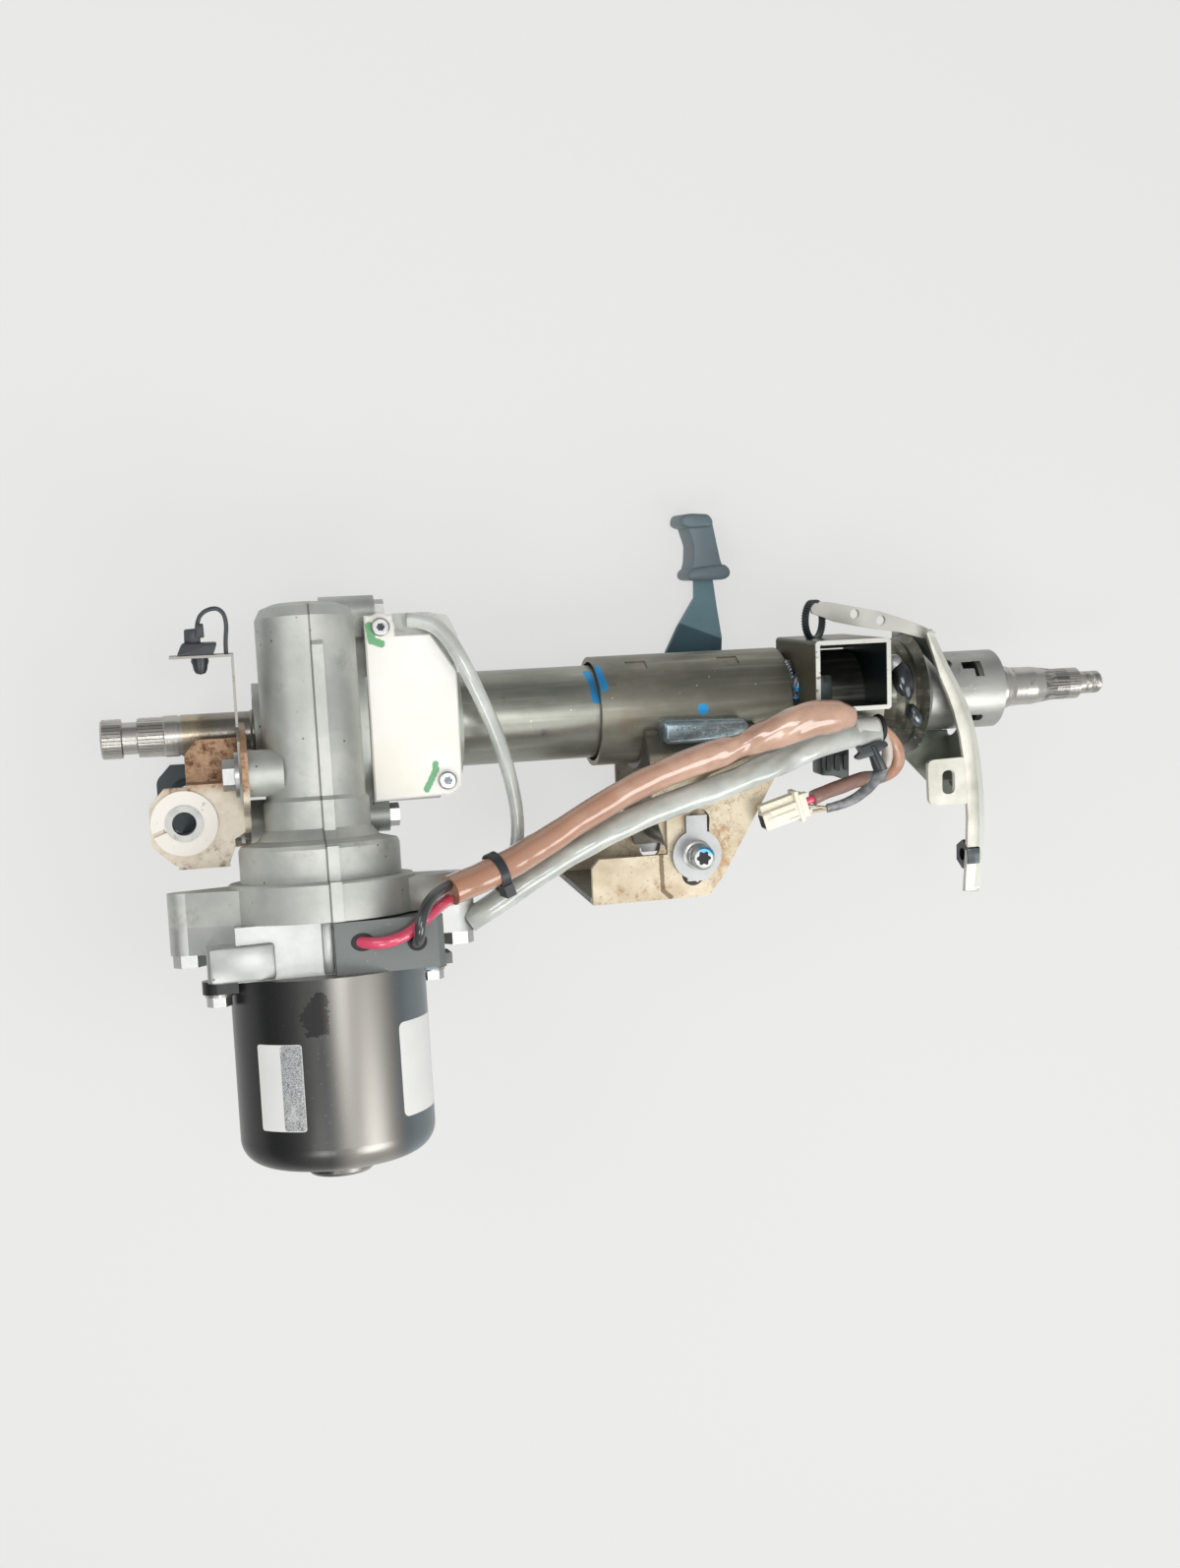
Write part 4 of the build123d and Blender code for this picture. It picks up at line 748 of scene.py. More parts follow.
def tubeMesh(name, line, radiusAt, sides=28):
    build = bmesh.new()
    side = Vector((0, 0, 1))
    rings = []
    for i, centre in enumerate(line):
        ahead = aheadAt(line, i)
        side = (side - ahead * side.dot(ahead)).normalized()
        other = ahead.cross(side)
        share = i / (len(line) - 1)
        rings.append([build.verts.new(centre + spoke(side, other, turn) * radiusAt(share, turn))
                      for turn in fullTurn(sides)])
    for low, high in zip(rings, rings[1:]):
        bridge(build, low, high)
    build.faces.new(rings[0][::-1])
    build.faces.new(rings[-1])
    return meshPiece(name, build)


routes = {
    "red": [(113.2, -89.9, 98.5), (118.5, -90, 104.8), (127, -89.2, 107), (137, -86, 104.8),
            (146, -78.3, 103.2), (152, -76.4, 96), (156, -75.6, 89.9)],
    "black": [(138.6, -92.5, 97.5), (138.8, -91.5, 105.5), (139.3, -86.5, 111.8),
              (140.2, -79, 111.5), (144.5, -72.4, 106.4), (150.5, -69, 98.8), (156.2, -68.5, 91.2)],
    "brown": [(157.5, -71.8, 88), (180.5, -66.5, 80), (205, -56, 73.5), (230.4, -43, 69),
              (256.2, -31, 66.5), (281.7, -22.4, 66), (307, -15.8, 66.5), (331, -8.2, 68),
              (350, -1.6, 70.5), (368, -4.6, 67.5)],
    "grey": [(169, -92.4, 65), (188, -80.6, 67), (209.9, -68, 65.5), (241.1, -53.2, 63.5),
             (271.8, -42.6, 63), (297.7, -36.6, 62), (319.4, -29.6, 60.5), (338, -23.4, 58),
             (358.2, -16.8, 55), (374.5, -15.2, 51.5), (390, -13.6, 48)],
    "sensor": [(150, 53.5, 42), (159.5, 52.5, 45), (167.6, 45, 49), (173.3, 33.5, 52),
               (178.6, 21.5, 52.5), (184.8, 7.5, 51), (190.8, -9, 50), (195.5, -28, 50),
               (197.8, -47, 51.5), (195, -63.5, 56), (189.3, -77, 61)],
    "lead": [(392.6, -14, 46.5), (400, -19.5, 43), (405, -28, 41), (403, -36.5, 41),
             (394, -40, 42.5), (381, -39.5, 45), (366, -43, 48), (352.8, -47.1, 50)],
    "tape": [(391.4, -13.6, 48), (394.6, -19.4, 47.6), (396, -26, 47.4), (394.6, -33, 47.2),
             (389.6, -40, 47), (382, -47, 47), (372, -52, 46.6), (362, -53.6, 46)],
    "strand": [(363, -53.6, 46), (357, -53.4, 46), (351.6, -52.8, 46)],
    "leadEnd": [(357.4, -45.8, 49), (353.4, -47.2, 50), (349.4, -48.4, 50), (345.4, -49.6, 50)],
}


def makeWire(name, route, diameter, finish, node):
    piece = dress(show(name, splineCurve(name, route, diameter / 2)), finish, "column", node)
    at(*route[0])


def makeSleeve(name, route, radiusAt, finish, node, body,
               spacing=0.0012, sides=28):
    line, length = evenly(route, spacing)
    piece = dress(tubeMesh(name, line, radiusAt, sides), finish, body, node)
    at(*route[0])


def bell(share, middle, width):
    return math.exp(-((share - middle) / width) ** 2)


sleeveRadius = {"brown": 0.0073, "grey": 0.0065, "sensor": 0.0037, "lead": 0.00375, "tape": 0.0025,
                "strand": 0.0008, "leadEnd": 0.0019}


def tapeRadius(share, turn):
    wide = 1.2 - 0.35 * share + 0.14 * math.cos(2 * turn + 4 * share)
    wide *= 1 + 0.07 * noise.noise(Vector((share * 30, math.cos(turn), 7)))
    return sleeveRadius["tape"] * wide


brownSet = {"pinch": 0.73, "pinchDepth": 0.24, "bulge": 0.88, "wrinkle": 0.05}


def brownRadius(share, turn):
    s = brownSet
    size = 1 - s["pinchDepth"] * bell(share, s["pinch"], 0.035)
    size += 0.16 * bell(share, s["bulge"], 0.08)
    size *= 1 + 0.10 * math.cos(2 * turn + 3 * share) + 0.1 * bell(share, 0.1, 0.16)
    pleat = bell(share, s["pinch"], 0.07) + 0.5 * bell(share, 0.85, 0.06)
    size *= 1 + s["wrinkle"] * pleat * math.sin(turn * 7 + share * 90)
    size *= 1 + 0.05 * noise.noise(Vector((share * 22, math.cos(turn), math.sin(turn))))
    size *= 1 - 0.35 * max(0, share - 0.96) / 0.04
    return sleeveRadius["brown"] * size


def greyRadius(share, turn):
    size = 1 + 0.12 * math.cos(2 * turn - 2 * share)
    size *= 1 + 0.08 * noise.noise(Vector((share * 18, 3 + math.cos(turn), math.sin(turn))))
    size *= 1 + 0.05 * bell(share, 0.75, 0.12) * math.sin(turn * 5 + share * 60)
    return sleeveRadius["grey"] * size


def cableRadius(share, turn):
    flat = bell(share, 0.0, 0.22)
    size = 1 + 0.35 * flat * math.cos(turn) ** 2 + 0.12 * bell(share, 0.8, 0.2) * math.cos(2 * turn)
    return sleeveRadius["sensor"] * size


def leadRadius(share, turn):
    size = 1 + 0.1 * noise.noise(Vector((share * 9, math.cos(turn), math.sin(turn))))
    size *= 1 + 0.06 * math.cos(3 * turn + share * 14)
    return sleeveRadius["lead"] * size


# Connector, short red lead and fir-tree clip on the lead
connectorSet = {"start": (346.4, -49.6, 50), "end": (325.6, -55.6, 50),
                "boxes": [((2, 22.4), (-6.2, 3.0), (-4.6, 4.2), 0.6),
                          ((1.2, 3.6), (-8.2, 8.4), (-5, 4.8), 0.5),
                          ((-2.2, 2.4), (-6.4, 6.0), (-4.6, 4.4), 0.6),
                          ((3.0, 22.0), (3.0, 6.8), (-4.2, 1.6), 0.5),
                          ((5, 21), (-1.6, -0.2), (4.0, 5.0), 0.3),
                          ((4, 9.5), (-5.6, -4.2), (3.8, 4.8), 0.3),
                          ((18, 22.8), (-5.6, 2.4), (3.6, 4.7), 0.3),
                          ((-4.4, -1), (-5.6, -3.6), (-3, 2), 0.4),
                          ((-4.4, -1), (3.2, 5.2), (-3, 2), 0.4)],
                "mouth": [((22.2, 22.9), (-4.8, 1.6), (-3.4, 3.0), 0)]}


def onConnector(along, across, out):
    first, last = at(*connectorSet["start"]), at(*connectorSet["end"])
    way = (last - first).normalized()
    side = Vector((0, 0, 1)).cross(way)
    return first + (way * along - side * across + Vector((0, 0, out))) / 1000


def makeBoxes(name, boxes, finish, node=None):
    rows = [([(a, c), (b, c), (b, d), (a, d)], *out, soft) for (a, b), (c, d), out, soft in boxes]
    return makePrisms(name, rows, finish, "upper_jacket", node, onConnector)


connector = makeBoxes("connectorBody", connectorSet["boxes"], "ivoryResin", "connector")
# A thin dark box at the connector's opening, painted shade
connectorMouthShade = makeBoxes("connectorMouthShade", connectorSet["mouth"], "blackAndHoleShade")

line, length = evenly(routes["leadEnd"], 0.0008)
leadEnd = dress(tubeMesh("leadEnd", line, lambda share, turn: sleeveRadius["leadEnd"]), "redVinyl",
                "upper_jacket")

firTreeSet = {"wing": [(372.8, -18.6), (377.8, -21.4), (385.4, -18.8), (391.2, -19.2),
                       (392.4, -21.4), (388, -24.2), (381.4, -26.8), (375.2, -28), (374, -26.4),
                       (377, -24.2)],
              "head": (383.6, -22.6, 53.5), "tip": (389.4, -34.6, 53.5),
              "stem": [(-1.5, 2.2), (0, 3.0), (3, 2.5), (6, 2.9), (9, 3.4), (11.5, 3.6),
                       (12.6, 3.2), (13.2, 1.6), (13.2, 0)],
              "tongue": [(382.6, -21), (385.2, -21), (391.6, -33.4), (388.4, -34.6)]}
build = bmesh.new()
addPrism(build, rounded(firTreeSet["wing"], 1.0, 3), 53.2, 56.6, 0.5)
head = at(*firTreeSet["head"])
addTurned(build, head, at(*firTreeSet["tip"]) - head, firTreeSet["stem"], 24)
addPrism(build, firTreeSet["tongue"], 55.8, 57.4, 0.4)
firTree = makePiece("firTreeClip", build, "blackPlastic", "upper_jacket",
                    "wire_clip")

makeWire("redWire", routes["red"], 0.0056, "redVinyl", "red_wire")
makeWire("blackWire", routes["black"], 0.0052, "blackVinyl",
         "black_wire")
makeSleeve("sensorCable", routes["sensor"], cableRadius, "cableGrey", "sensor_cable",
           "column")
makeSleeve("brownSleeve", routes["brown"], brownRadius, "brownVinyl", "brown_sleeve",
           "column")
makeSleeve("greySleeve", routes["grey"], greyRadius, "greyVinyl", "grey_sleeve",
           "column")
makeSleeve("leadSleeve", routes["lead"], leadRadius, "leadVinyl", "lead_sleeve",
           "upper_jacket")

# Second branch, wrapped in tape, with its two bare strands
for k, shift in enumerate((0.7, -0.8)):
    route = [(a, b + shift * (0.4 + i), c + shift * 0.5 * i)
             for i, (a, b, c) in enumerate(routes["strand"])]
    strand, length = evenly(route, 0.001)
    dress(tubeMesh("bareStrand" + str(k), strand,
                               lambda share, turn: sleeveRadius["strand"], 12),
                      "bareStrands", "upper_jacket")
makeSleeve("tapedWire", routes["tape"], tapeRadius, "greyTape", None,
           "upper_jacket", 0.001, 20)
print("cords made")

# Labels on the motor, bare, with the grey printed band as a smudge
labelSet = {"can": 46.0, "film": 0.14, "sink": 0.1,
            "front": {"angle": -35.6, "middle": -164.4, "width": 23.8, "height": 39.4,
                      "corner": 1.4},
            "side": {"angle": 58, "middle": -162.2, "width": 32, "height": 43.6, "corner": 3.0},
            "band": {"shift": 0.27, "width": 0.44, "inset": 0.6, "over": 0.04}}


def makeLabel(name, finish, film, angle, middle, width, height, corner):
    build = bmesh.new()
    radius = labelSet["can"]

    def where(u, v, lift):
        return atMotor(angle + math.degrees(u / radius), radius + lift, middle + v)
    addPatch(build, where, width, height, corner, film, labelSet["sink"])
    makePiece(name, build, finish, "column")


front, bandSet = labelSet["front"], labelSet["band"]
shift = math.degrees(front["width"] * bandSet["shift"] / labelSet["can"])
makeLabel("frontLabel", "labelFilm", labelSet["film"], **front)
makeLabel("frontLabelBand", "smudgedBand", labelSet["film"] + bandSet["over"],
          **{**front, "angle": front["angle"] + shift, "width": front["width"] * bandSet["width"],
             "height": front["height"] - bandSet["inset"]})
makeLabel("sideLabel", "labelFilm", labelSet["film"], **labelSet["side"])
print("labels made")

# Pad and rib on the motor adapter
adapterSet = {"pad": ([(46, -99.5), (75, -98.8), (75, -115.4), (46, -115.4)], 56, 84.5, 1.5),
              "rib": ([(96.6, -91.6), (101.6, -91.6), (101.6, -115.6), (96.6, -115.6)], 74, 83, 1)}
makePrisms("adapterPads", adapterSet.values(), "adapterAluminium", "column",
           place=atDrive)
print("adapter pads made")

# Dark stars and discs sunk into the faces of the cover screws and the terminal block, painted shade
# standing for the screw recesses and wire holes
recessSet = {"stars": [((136, 45), 1.8, 1.8, 0.12), ((163.6, -31), 1.8, 1.8, 0.12)],
             "starLevels": (47.8, 48.26, 0), "holeLevels": (88.1, 88.62, 0),
             "holes": [((114.4, -101.6), 5.4, 4.2, 0, 32), ((139.2, -103.4), 4.6, 4.4, 0, 32)]}
s = recessSet
makePrisms("screwRecessShades", [(lobed(*star), *s["starLevels"]) for star in s["stars"]], "hookSteel",
           "column", place=atDrive)
makePrisms("wireHoleShades", [(lobed(*hole), *s["holeLevels"]) for hole in s["holes"]], "blackAndHoleShade",
           "column", place=atDrive)

# Strap clip on the left bracket
strapSet = {"path": [(50.2, 52), (50.6, 56), (52.1, 59.9), (55.3, 62.4), (59.6, 63), (62.6, 60.6),
                     (63.6, 55.4), (62.9, 48), (62.7, 41.6)],
            "thick": 2.0, "width": (50.2, 55.8),
            "blocks": [(rounded([(40.4, 42.1), (57, 42.1), (59, 47.6), (43, 47.8)], 1.4, 3),
                        45.6, 60.4, 0.9),
                       ([(44.2, 46), (51.4, 46.2), (51.8, 54.4), (44.4, 54.0)], 48, 58, 0.7),
                       ([(49.2, 50), (53.4, 50), (53.2, 56.4), (49.6, 56.4)], 49.6, 58.8, 0.5)],
            "plug": [(0, 4.2), (3.6, 3.8), (7.4, 3.1), (9, 2.2), (9.6, 0)],
            "foot": (50.6, 42.4, 53),
            "fin": [(46.4, 39.4), (54.8, 39.4), (54.2, 37.4), (47.2, 37.4)]}
s = strapSet
build = bmesh.new()
for block in s["blocks"]:
    addPrism(build, *block)
addPrism(build, band(smoothPath(s["path"]), s["thick"]), *s["width"], 0.3)
addTurned(build, at(*s["foot"]), Vector((0, -1, 0)), s["plug"], 28)
for z in (52, 53):
    addPrism(build, s["fin"], z, z + 1, 0.3)
makePiece("strapClip", build, "blackPlastic", "column", "tie_mount")
print("strap clip made")

# Lever grip: a waisted handle with a bulge at each end
gripSet = {"front": -42, "back": -66, "soft": 2.1,
           "body": [(316.6, 100), (331.2, 100.4), (332.6, 97), (334.5, 87), (336.6, 76.6),
                    (339, 70), (318.6, 69), (320.6, 76), (321.2, 85), (318.4, 94)],
           "top": [(313.2, 96.4), (314.4, 102.2), (320, 102.9), (330.4, 102.2), (333, 98),
                   (331.6, 94.8), (318, 94.4)],
           "foot": [(316.9, 67), (319.6, 65.5), (338.6, 65.6), (342, 67.6), (342, 71.4),
                    (338.8, 74.4), (320.4, 73), (317, 70.6)]}
s = gripSet
makePrisms("leverGrip", [(rounded(s["body"], 1.6), s["back"] + 1, s["front"] - 1.6, s["soft"])] + [
    (rounded(s[end], 2.4), s["back"], s["front"], s["soft"]) for end in ("top", "foot")],
    "gripPlastic", "lever_side", "lever_grip", steps=3)
print("grip made")

# Clamp bolt end: threaded sleeve with a star recess
clampSet = {"centre": (291, -72.4), "radius": 5.7, "flange": 7.6, "low": 46.3, "high": 57.4,
            "star": 3.3, "lobes": 0.16, "thread": 48.4}
s = clampSet
top, r = s["high"] - s["low"], s["radius"]
build = bmesh.new()
addTurned(build, at(*s["centre"], s["low"]), Vector((0, 0, 1)),
          [(0, s["flange"]), (0.9, s["flange"]), (1.2, 6.9), (1.4, r), (top - 1, r), (top, r - 0.9),
           (top, 0)], 48)
makePiece("clampEnd", build, "zincSteel", "upper_jacket", "clamp_nut")
# A dark star on the end face, painted shade standing for the recess
makePrisms("clampRecessShade", [(lobed(s["centre"], s["star"], s["star"], s["lobes"]), s["high"] - 0.2,
                            s["high"] + 0.08, 0)], "blackAndHoleShade", "upper_jacket")

threadSet = {"clamp": {"Turns": 5.5, "Radius": 0.0057, "Pitch": 0.0015, "Depth": 0.0006},
             "wheel": {"Turns": 8.0, "Radius": 0.0058, "Pitch": 0.00115, "Depth": 0.00055}}


def makeThread(name, sizes, centre, turn, finish, body):
    p = Pattern(name + "Pattern", sizes)
    spiral = p.node("GeometryNodeCurveSpiral", None,
                    {"Resolution": 28, "Rotations": p.read("Turns"),
                     "Start Radius": p.read("Radius"), "End Radius": p.read("Radius"),
                     "Height": p.read("Turns") * p.read("Pitch")})
    section = p.node("GeometryNodeCurvePrimitiveCircle", {"mode": "RADIUS"},
                     {"Resolution": 6, "Radius": p.read("Depth")})
    skin = p.node("GeometryNodeCurveToMesh", None,
                  {"Curve": spiral, "Profile Curve": section, "Fill Caps": True})
    placed = p.node("GeometryNodeTransform", None,
                    {"Geometry": skin, "Translation": centre, "Rotation": turn})
    p.finish(placed, finish)
    dress(p.grow(name), None, body)


makeThread("clampThread", threadSet["clamp"], at(*s["centre"], s["thread"]), (0, 0, 0), "zincSteel",
           "upper_jacket")
makeThread("wheelThread", threadSet["wheel"], at(535.6, 0, 0), (0, math.pi / 2, 0), "shaftSteel",
           "upper_shaft_line")
print("threads made")

# Ring clip: a band with ribs around it
ringSet = {"centre": (364.4, 43.4, 26), "lean": 42, "radius": 10.1, "thick": 1.1, "wide": 3.4,
           "ribs": {"Count": 44, "Thick": 0.0014, "Wide": 0.0036, "Long": 0.0007}}


def makeRing():
    s = ringSet
    lean = math.radians(s["lean"])
    axis = Vector((math.sin(lean), 0, math.cos(lean)))
    side = Vector((0, 1, 0))
    other = axis.cross(side)
    centre, half = at(*s["centre"]), s["wide"] / 2
    low, high = s["radius"] - s["thick"], s["radius"]
    build = bmesh.new()
    section = [(-half, low), (-half, high), (half, high), (half, low)]
    addTurned(build, centre, axis, section, 64, True)
    makePiece("ringBand", build, "blackPlastic", "upper_jacket", "ring_clip")
    path = bpy.data.curves.new("ringPath", "CURVE")
    path.dimensions = "3D"
    spline = path.splines.new("POLY")
    turns = fullTurn(72)
    spline.points.add(len(turns) - 1)
    for point, turn in zip(spline.points, turns):
        point.co = (*(centre + spoke(side, other, turn) * high / 1000), 1)
    spline.use_cyclic_u = True
    p = Pattern("ringRibPattern", s["ribs"])
    spots = p.tree.nodes.new("GeometryNodeCurveToPoints")
    p.join(p.read("Path"), spots.inputs["Curve"])
    p.join(p.read("Count"), spots.inputs["Count"])
    size = p.node("ShaderNodeCombineXYZ", None,
                  {0: p.read("Thick"), 1: p.read("Wide"), 2: p.read("Long")})
    ribs = p.node("GeometryNodeInstanceOnPoints", None,
                  {"Points": Value(p, spots.outputs["Points"]),
                   "Instance": p.node("GeometryNodeMeshCube", None, {"Size": size}),
                   "Rotation": Value(p, spots.outputs["Rotation"])})
    p.finish(ribs, "blackPlastic")
    dress(p.grow("ringRibs", path), None, "upper_jacket")


makeRing()
print("ring clip made")

# Weld beads, rippled along their paths, and solidified drops
beadSet = {"Radius": 0.0018, "Ripple": 0.12, "Pitch": 0.0018, "Spacing": 0.00045}


def makeBead(name, route, radius):
    p = Pattern(name + "Pattern", {**beadSet, "Radius": radius / 1000})
    line = p.node("GeometryNodeResampleCurve", {"mode": "LENGTH"},
                  {"Curve": p.read("Path"), "Length": p.read("Spacing")})
    along = p.node("GeometryNodeSplineParameter", output="Length")
    share = p.node("GeometryNodeSplineParameter", output="Factor")
    ends = share.between(0.0, 0.1, 0.9, 1.0) * 0.6 + 0.4
    ripple = (along * 6.2832 / p.read("Pitch")).sine() * p.read("Ripple") + 1
    section = p.node("GeometryNodeCurvePrimitiveCircle", {"mode": "RADIUS"},
                     {"Resolution": 14, "Radius": 1.0})
    skin = p.node("GeometryNodeCurveToMesh", None,
                  {"Curve": line, "Profile Curve": section, "Fill Caps": True,
                   "Scale": p.read("Radius") * ripple * ends})
    p.finish(skin, "weldSteel")
    dress(p.grow(name, splineCurve(name + "Path", route)), None, "upper_jacket")


def arc(station, radius, first, last, drift=0.0):  # around the tube: 0 is up, 90 faces the front
    turns = [math.radians(first + (last - first) * k / 6) for k in range(7)]
    return [(station + drift * k / 6, radius * math.cos(turn), radius * math.sin(turn))
            for k, turn in enumerate(turns)]


def makeBlob(name, centre, half, turn, finish):
    build = bmesh.new()
    bmesh.ops.create_uvsphere(build, u_segments=40, v_segments=24, radius=1)
    spin = Matrix.Rotation(math.radians(turn), 3, "Z")
    for vertex in build.verts:
        swell = 1 + 0.12 * noise.noise(vertex.co * 0.9 + Vector(centre))
        reach = spin @ Vector([a * b * swell for a, b in zip(vertex.co, half)])
        vertex.co = at(*centre) + reach / 1000
    makePiece(name, build, finish, "upper_jacket")


makeBead("jacketWeld", arc(352.2, 27.7, 36, 84, 0.8), 2.3)
makeBead("boxWeldLow", [(357, -3.4, 26), (368, -4.2, 26.4), (380, -4.2, 26.4), (392, -3.6, 26)],
         1.5)
makeBead("boxWeldRight", [(396.6, 24, 14), (397.2, 18, 20.4), (397.4, 10, 25), (397, 2, 26.6)],
         1.9)
makeBlob("collarBlob", (414.6, 8.4, 26.6), (6.0, 11.5, 4.6), 12, "hookSteel")
makeBlob("jacketBlob", (354.6, 9, 27), (3.8, 8, 2.4), -6, "hookSteel")
makeBlob("collarDrop", (410.6, 18.4, 24.2), (4.6, 5.2, 3.6), 30, "guideSteel")
makeBlob("rimDrop", (419.6, -9.6, 29.4), (3.4, 6.4, 3.2), 24, "weldSteel")
makeBead("plateWeldBack", arc(425.4, 32.2, 200, 330), 1.7)
for name, side in (("bracketWeldFront", 1), ("bracketWeldBack", -1)):
    makeBead(name, [(272, -22, 21.5 * side), (290, -22.4, 21.2 * side),
                    (310, -22.4, 21.2 * side), (328, -22, 21.5 * side)], 1.6)
print("welds made")

# Weld pad on the outer tube, small bracket under the tube, pocket and back of the lock
padSet = {"outline": [(276.8, -3.0), (322.8, -4.6), (324, -16), (276.8, -16)], "round": 4.0,
          "levels": (22, 40, 2.4)}
makePrisms("weldPad", [(rounded(padSet["outline"], padSet["round"], 5), *padSet["levels"])],
           "weldPadSteel", "upper_jacket", steps=4)
hookSet = {"outline": [(374.8, -27), (374.8, -42), (383.4, -42.8), (385.4, -44.2), (390.8, -45),
                       (391.2, -27)],
           "grooves": [(377.5, 379.7), (382.2, 385), (387.4, 389.4)]}
makePrisms("lowerHook", [(rounded(hookSet["outline"], 1.6), -7, 7, 0.8)] + [
    (rounded([(left, -31), (left, -39.4), (right, -40), (right, -31)], 0.7, 3), 5, 8, 0)
    for left, right in hookSet["grooves"]], "lockPocket", "upper_jacket")
lockSet = {"pocket": [(356.6, -0.2), (372.4, -0.2), (372.4, 15), (356.6, 15)],
           "back": [(355.4, 26.6), (393.6, 26.6), (393.6, 32.8), (355.4, 32.8)]}
makePrisms("boxPocket", [(rounded(lockSet["pocket"], 2.2), 25.4, 31, 0.9)], "lockPocket",
           "upper_jacket")
makePrisms("boxBack", [(lockSet["back"], -3.4, -1.4, 0)], "lockPocket", "upper_jacket")
print("pad, hook and pocket made")

# Plate rim that faces the front, its slotted tab, and the web behind the tab
rimSet = {"curve": [(429, 36), (434.4, 24.6), (439.5, 13.8), (444.8, 4.4), (449.1, -5.2),
                    (453.6, -20.4), (456.5, -36.1), (458, -51.6), (458.5, -67), (457.4, -88),
                    (455.3, -108.4)],
          "wide": (4, 5.4, 7, 8, 8.6, 9, 9.4, 9.6, 9.4, 9, 8.4), "low": 28.8, "high": 31.9,
          "tab": [(425.8, -34.2), (449, -33.6), (450.4, -59.6), (426.6, -58.6)], "round": 3.6,
          "slot": [(434.2, -40.2), (441.6, -40.2), (441.6, -53.2), (434.2, -53.2)],
          "middle": (437.8, -46.6),
          "web": [(430, -22), (452.5, -22), (455, -36), (457, -50), (441, -50.9), (426.9, -36.1)]}


def seenFrom(middle, outline, turn):  # where a ray from the middle leaves an outline
    way = Vector((math.cos(turn), math.sin(turn)))
    best = None
    for a, b in zip(outline, outline[1:] + outline[:1]):
        first, edge = a - middle, b - a
        cross = way.x * edge.y - way.y * edge.x
        if abs(cross) < 1e-9:
            continue
        reach = (first.x * edge.y - first.y * edge.x) / cross
        share = (first.x * way.y - first.y * way.x) / cross
        if reach > 0 and -1e-6 <= share <= 1 + 1e-6 and (best is None or reach > best):
            best = reach
    return middle + way * best


def addFrame(build, outer, inner, middle, low, high, count=96):  # a plate with one opening
    turns = fullTurn(count)
    loops = [[build.verts.new(at(*seenFrom(middle, outline, turn), level)) for turn in turns]
             for outline, level in ((outer, low), (outer, high), (inner, high), (inner, low))]
    for first, second in zip(loops, loops[1:] + loops[:1]):
        bridge(build, first, second)


s = rimSet
edge = [Vector(point) for point in s["curve"]]
inner = []
for i, point in enumerate(edge):
    ahead = aheadAt(edge, i)
    inner.append(point + Vector((ahead.y, -ahead.x)) * s["wide"][i])
build = bmesh.new()
addPrism(build, edge + inner[::-1], s["low"], s["high"], 0.5)
addFrame(build, rounded(s["tab"], s["round"], 5), rounded(s["slot"], s["round"], 6),
         Vector(s["middle"]), s["low"], s["high"] - 0.2)
makePiece("plateRim", build, "plateRimSteel", "upper_jacket")
makePrisms("plateWeb", [(s["web"], -2, 0.5, 0.3)], "plateSteelShaded", "upper_jacket")
print("plate rim made")

# Collar and black ring at the sleeve's end
collarSet = {"from": (374.6, -13.4, 50), "to": (389.4, -13.2, 48),
             "profile": [(0, 6.0), (0.8, 6.9), (2.2, 7.1), (2.6, 6.5), (13.6, 6.5), (14.4, 6.1),
                         (14.4, 5.1), (0, 5.1)],
             "ring": [(0, 6.4), (0.4, 7.3), (1.6, 7.6), (2.3, 7.2), (2.5, 6.4), (1.2, 5.4)]}
start, end = at(*collarSet["from"]), at(*collarSet["to"])
build = bmesh.new()
addTurned(build, start, end - start, collarSet["profile"], 40, True)
makePiece("sleeveCollar", build, "collarResin", "column")
build = bmesh.new()
addTurned(build, end, end - start, collarSet["ring"], 40, True)
makePiece("sleeveRing", build, "blackAndHoleShade", "column")
print("collar made")

# Floor, world and lamps
stageSet = {"floorSize": 8.0, "floorGap": 0.0004, "middle": 0.2, "paper": "ebebea",
            "shadow": "dadad9", "shadowShare": 0.25, "sky": (0.55, -0.45, 0.7), "skyStrength": 0.62,
            "aim": (0.2, 0.02, 0),
            "lamps": {
                "keyLamp": ((0.75, -0.55, 0.95), 0.7, 6.6),
                "fillLamp": ((-0.7, 0.5, 0.9), 0.9, 4.4),
                "topLamp": ((0.2, 0.1, 1.5), 0.5, 4.4),
                "canLamp": ((-0.34, -0.52, 1.1), 0.42, 3.2),
            }}


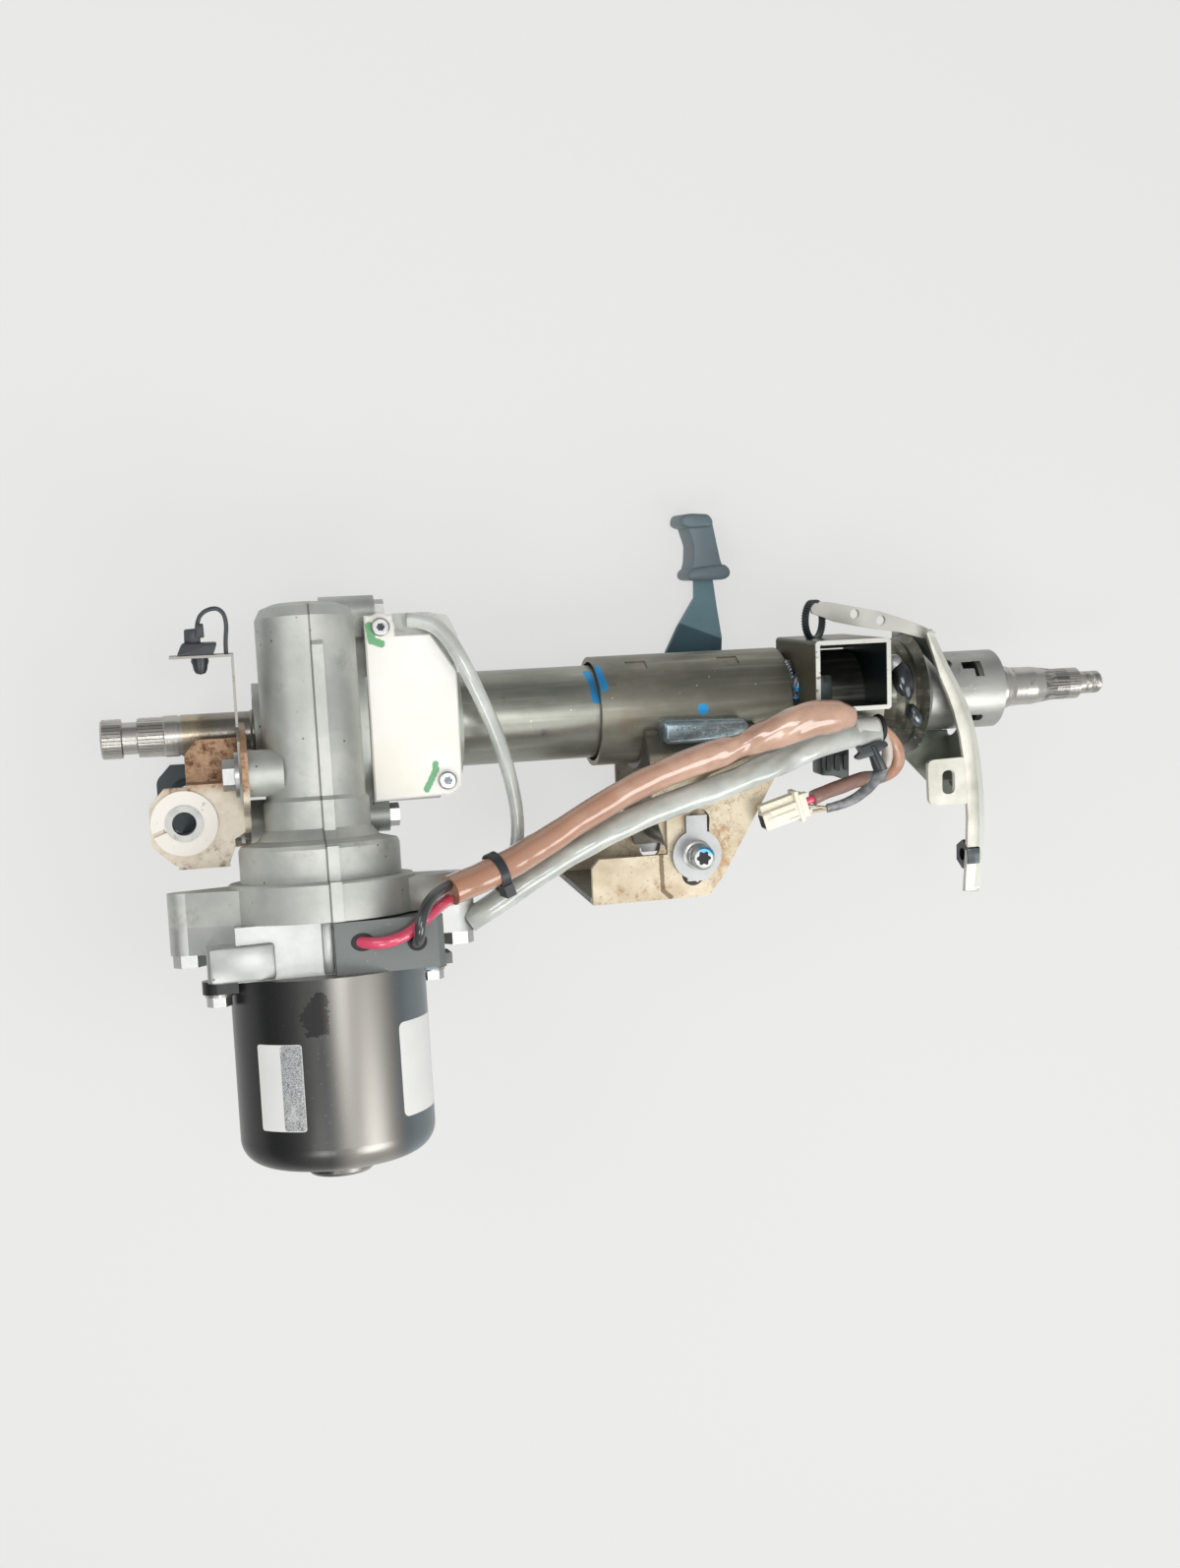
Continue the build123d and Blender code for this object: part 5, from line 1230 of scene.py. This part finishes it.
def makeFloor():
    build = bmesh.new()
    bmesh.ops.create_grid(build, x_segments=2, y_segments=2, size=stageSet["floorSize"] / 2)
    bmesh.ops.translate(build, verts=build.verts,
                        vec=(stageSet["middle"], 0, cadBox[0].z - stageSet["floorGap"]))
    floor = show("floor", toMesh("floor", build))
    f = Finish("floorPaper")
    path = f.tree.nodes.new("ShaderNodeLightPath")
    camera, glossy, through = (Value(f, path.outputs["Is " + kind + " Ray"])
                               for kind in ("Camera", "Glossy", "Transmission"))
    paper = f.node("ShaderNodeBsdfDiffuse", None, {"Color": stageSet["shadow"]})
    glow = f.node("ShaderNodeEmission", None, {"Color": stageSet["paper"], "Strength": 1.0})
    seen = (camera | glossy | through) * (1 - stageSet["shadowShare"])
    both = f.node("ShaderNodeMixShader", None, {0: seen, 1: paper, 2: glow})
    f.close("ShaderNodeOutputMaterial", both)
    floor.data.materials.append(f.material)


def makeWorld():
    world = bpy.data.worlds.new("studio")
    world.use_nodes = True
    t = Tree(world.node_tree)
    t.tree.nodes.clear()
    way = t.node("ShaderNodeTexCoord", output="Generated")
    lean = t.node("ShaderNodeVectorMath", {"operation": "DOT_PRODUCT"},
                  {0: way, 1: stageSet["sky"]}, "Value")
    level = (lean.ramp(-0.6, 0.9) * 0.75 + 0.2) * stageSet["skyStrength"]
    sky = t.node("ShaderNodeBackground", None, {"Color": (1, 1, 1), "Strength": level})
    plain = t.node("ShaderNodeBackground", None, {"Color": stageSet["paper"], "Strength": 1.0})
    path = t.node("ShaderNodeLightPath", output="Is Camera Ray")
    both = t.node("ShaderNodeMixShader", None, {0: path, 1: sky, 2: plain})
    t.close("ShaderNodeOutputWorld", both)
    bpy.context.scene.world = world


def makeLamps():
    for name, (place, size, power) in stageSet["lamps"].items():
        data = bpy.data.lights.new(name, "AREA")
        data.shape = "DISK"
        data.size = size
        data.energy = power
        aim = Vector(stageSet["aim"]) - Vector(place)
        turn = aim.to_track_quat("-Z", "Y").to_matrix().to_4x4()
        show(name, data).matrix_world = Matrix.Translation(place) @ turn


makeFloor()
makeWorld()
makeLamps()
bpy.context.scene.view_settings.view_transform = "Standard"
print("stage made")
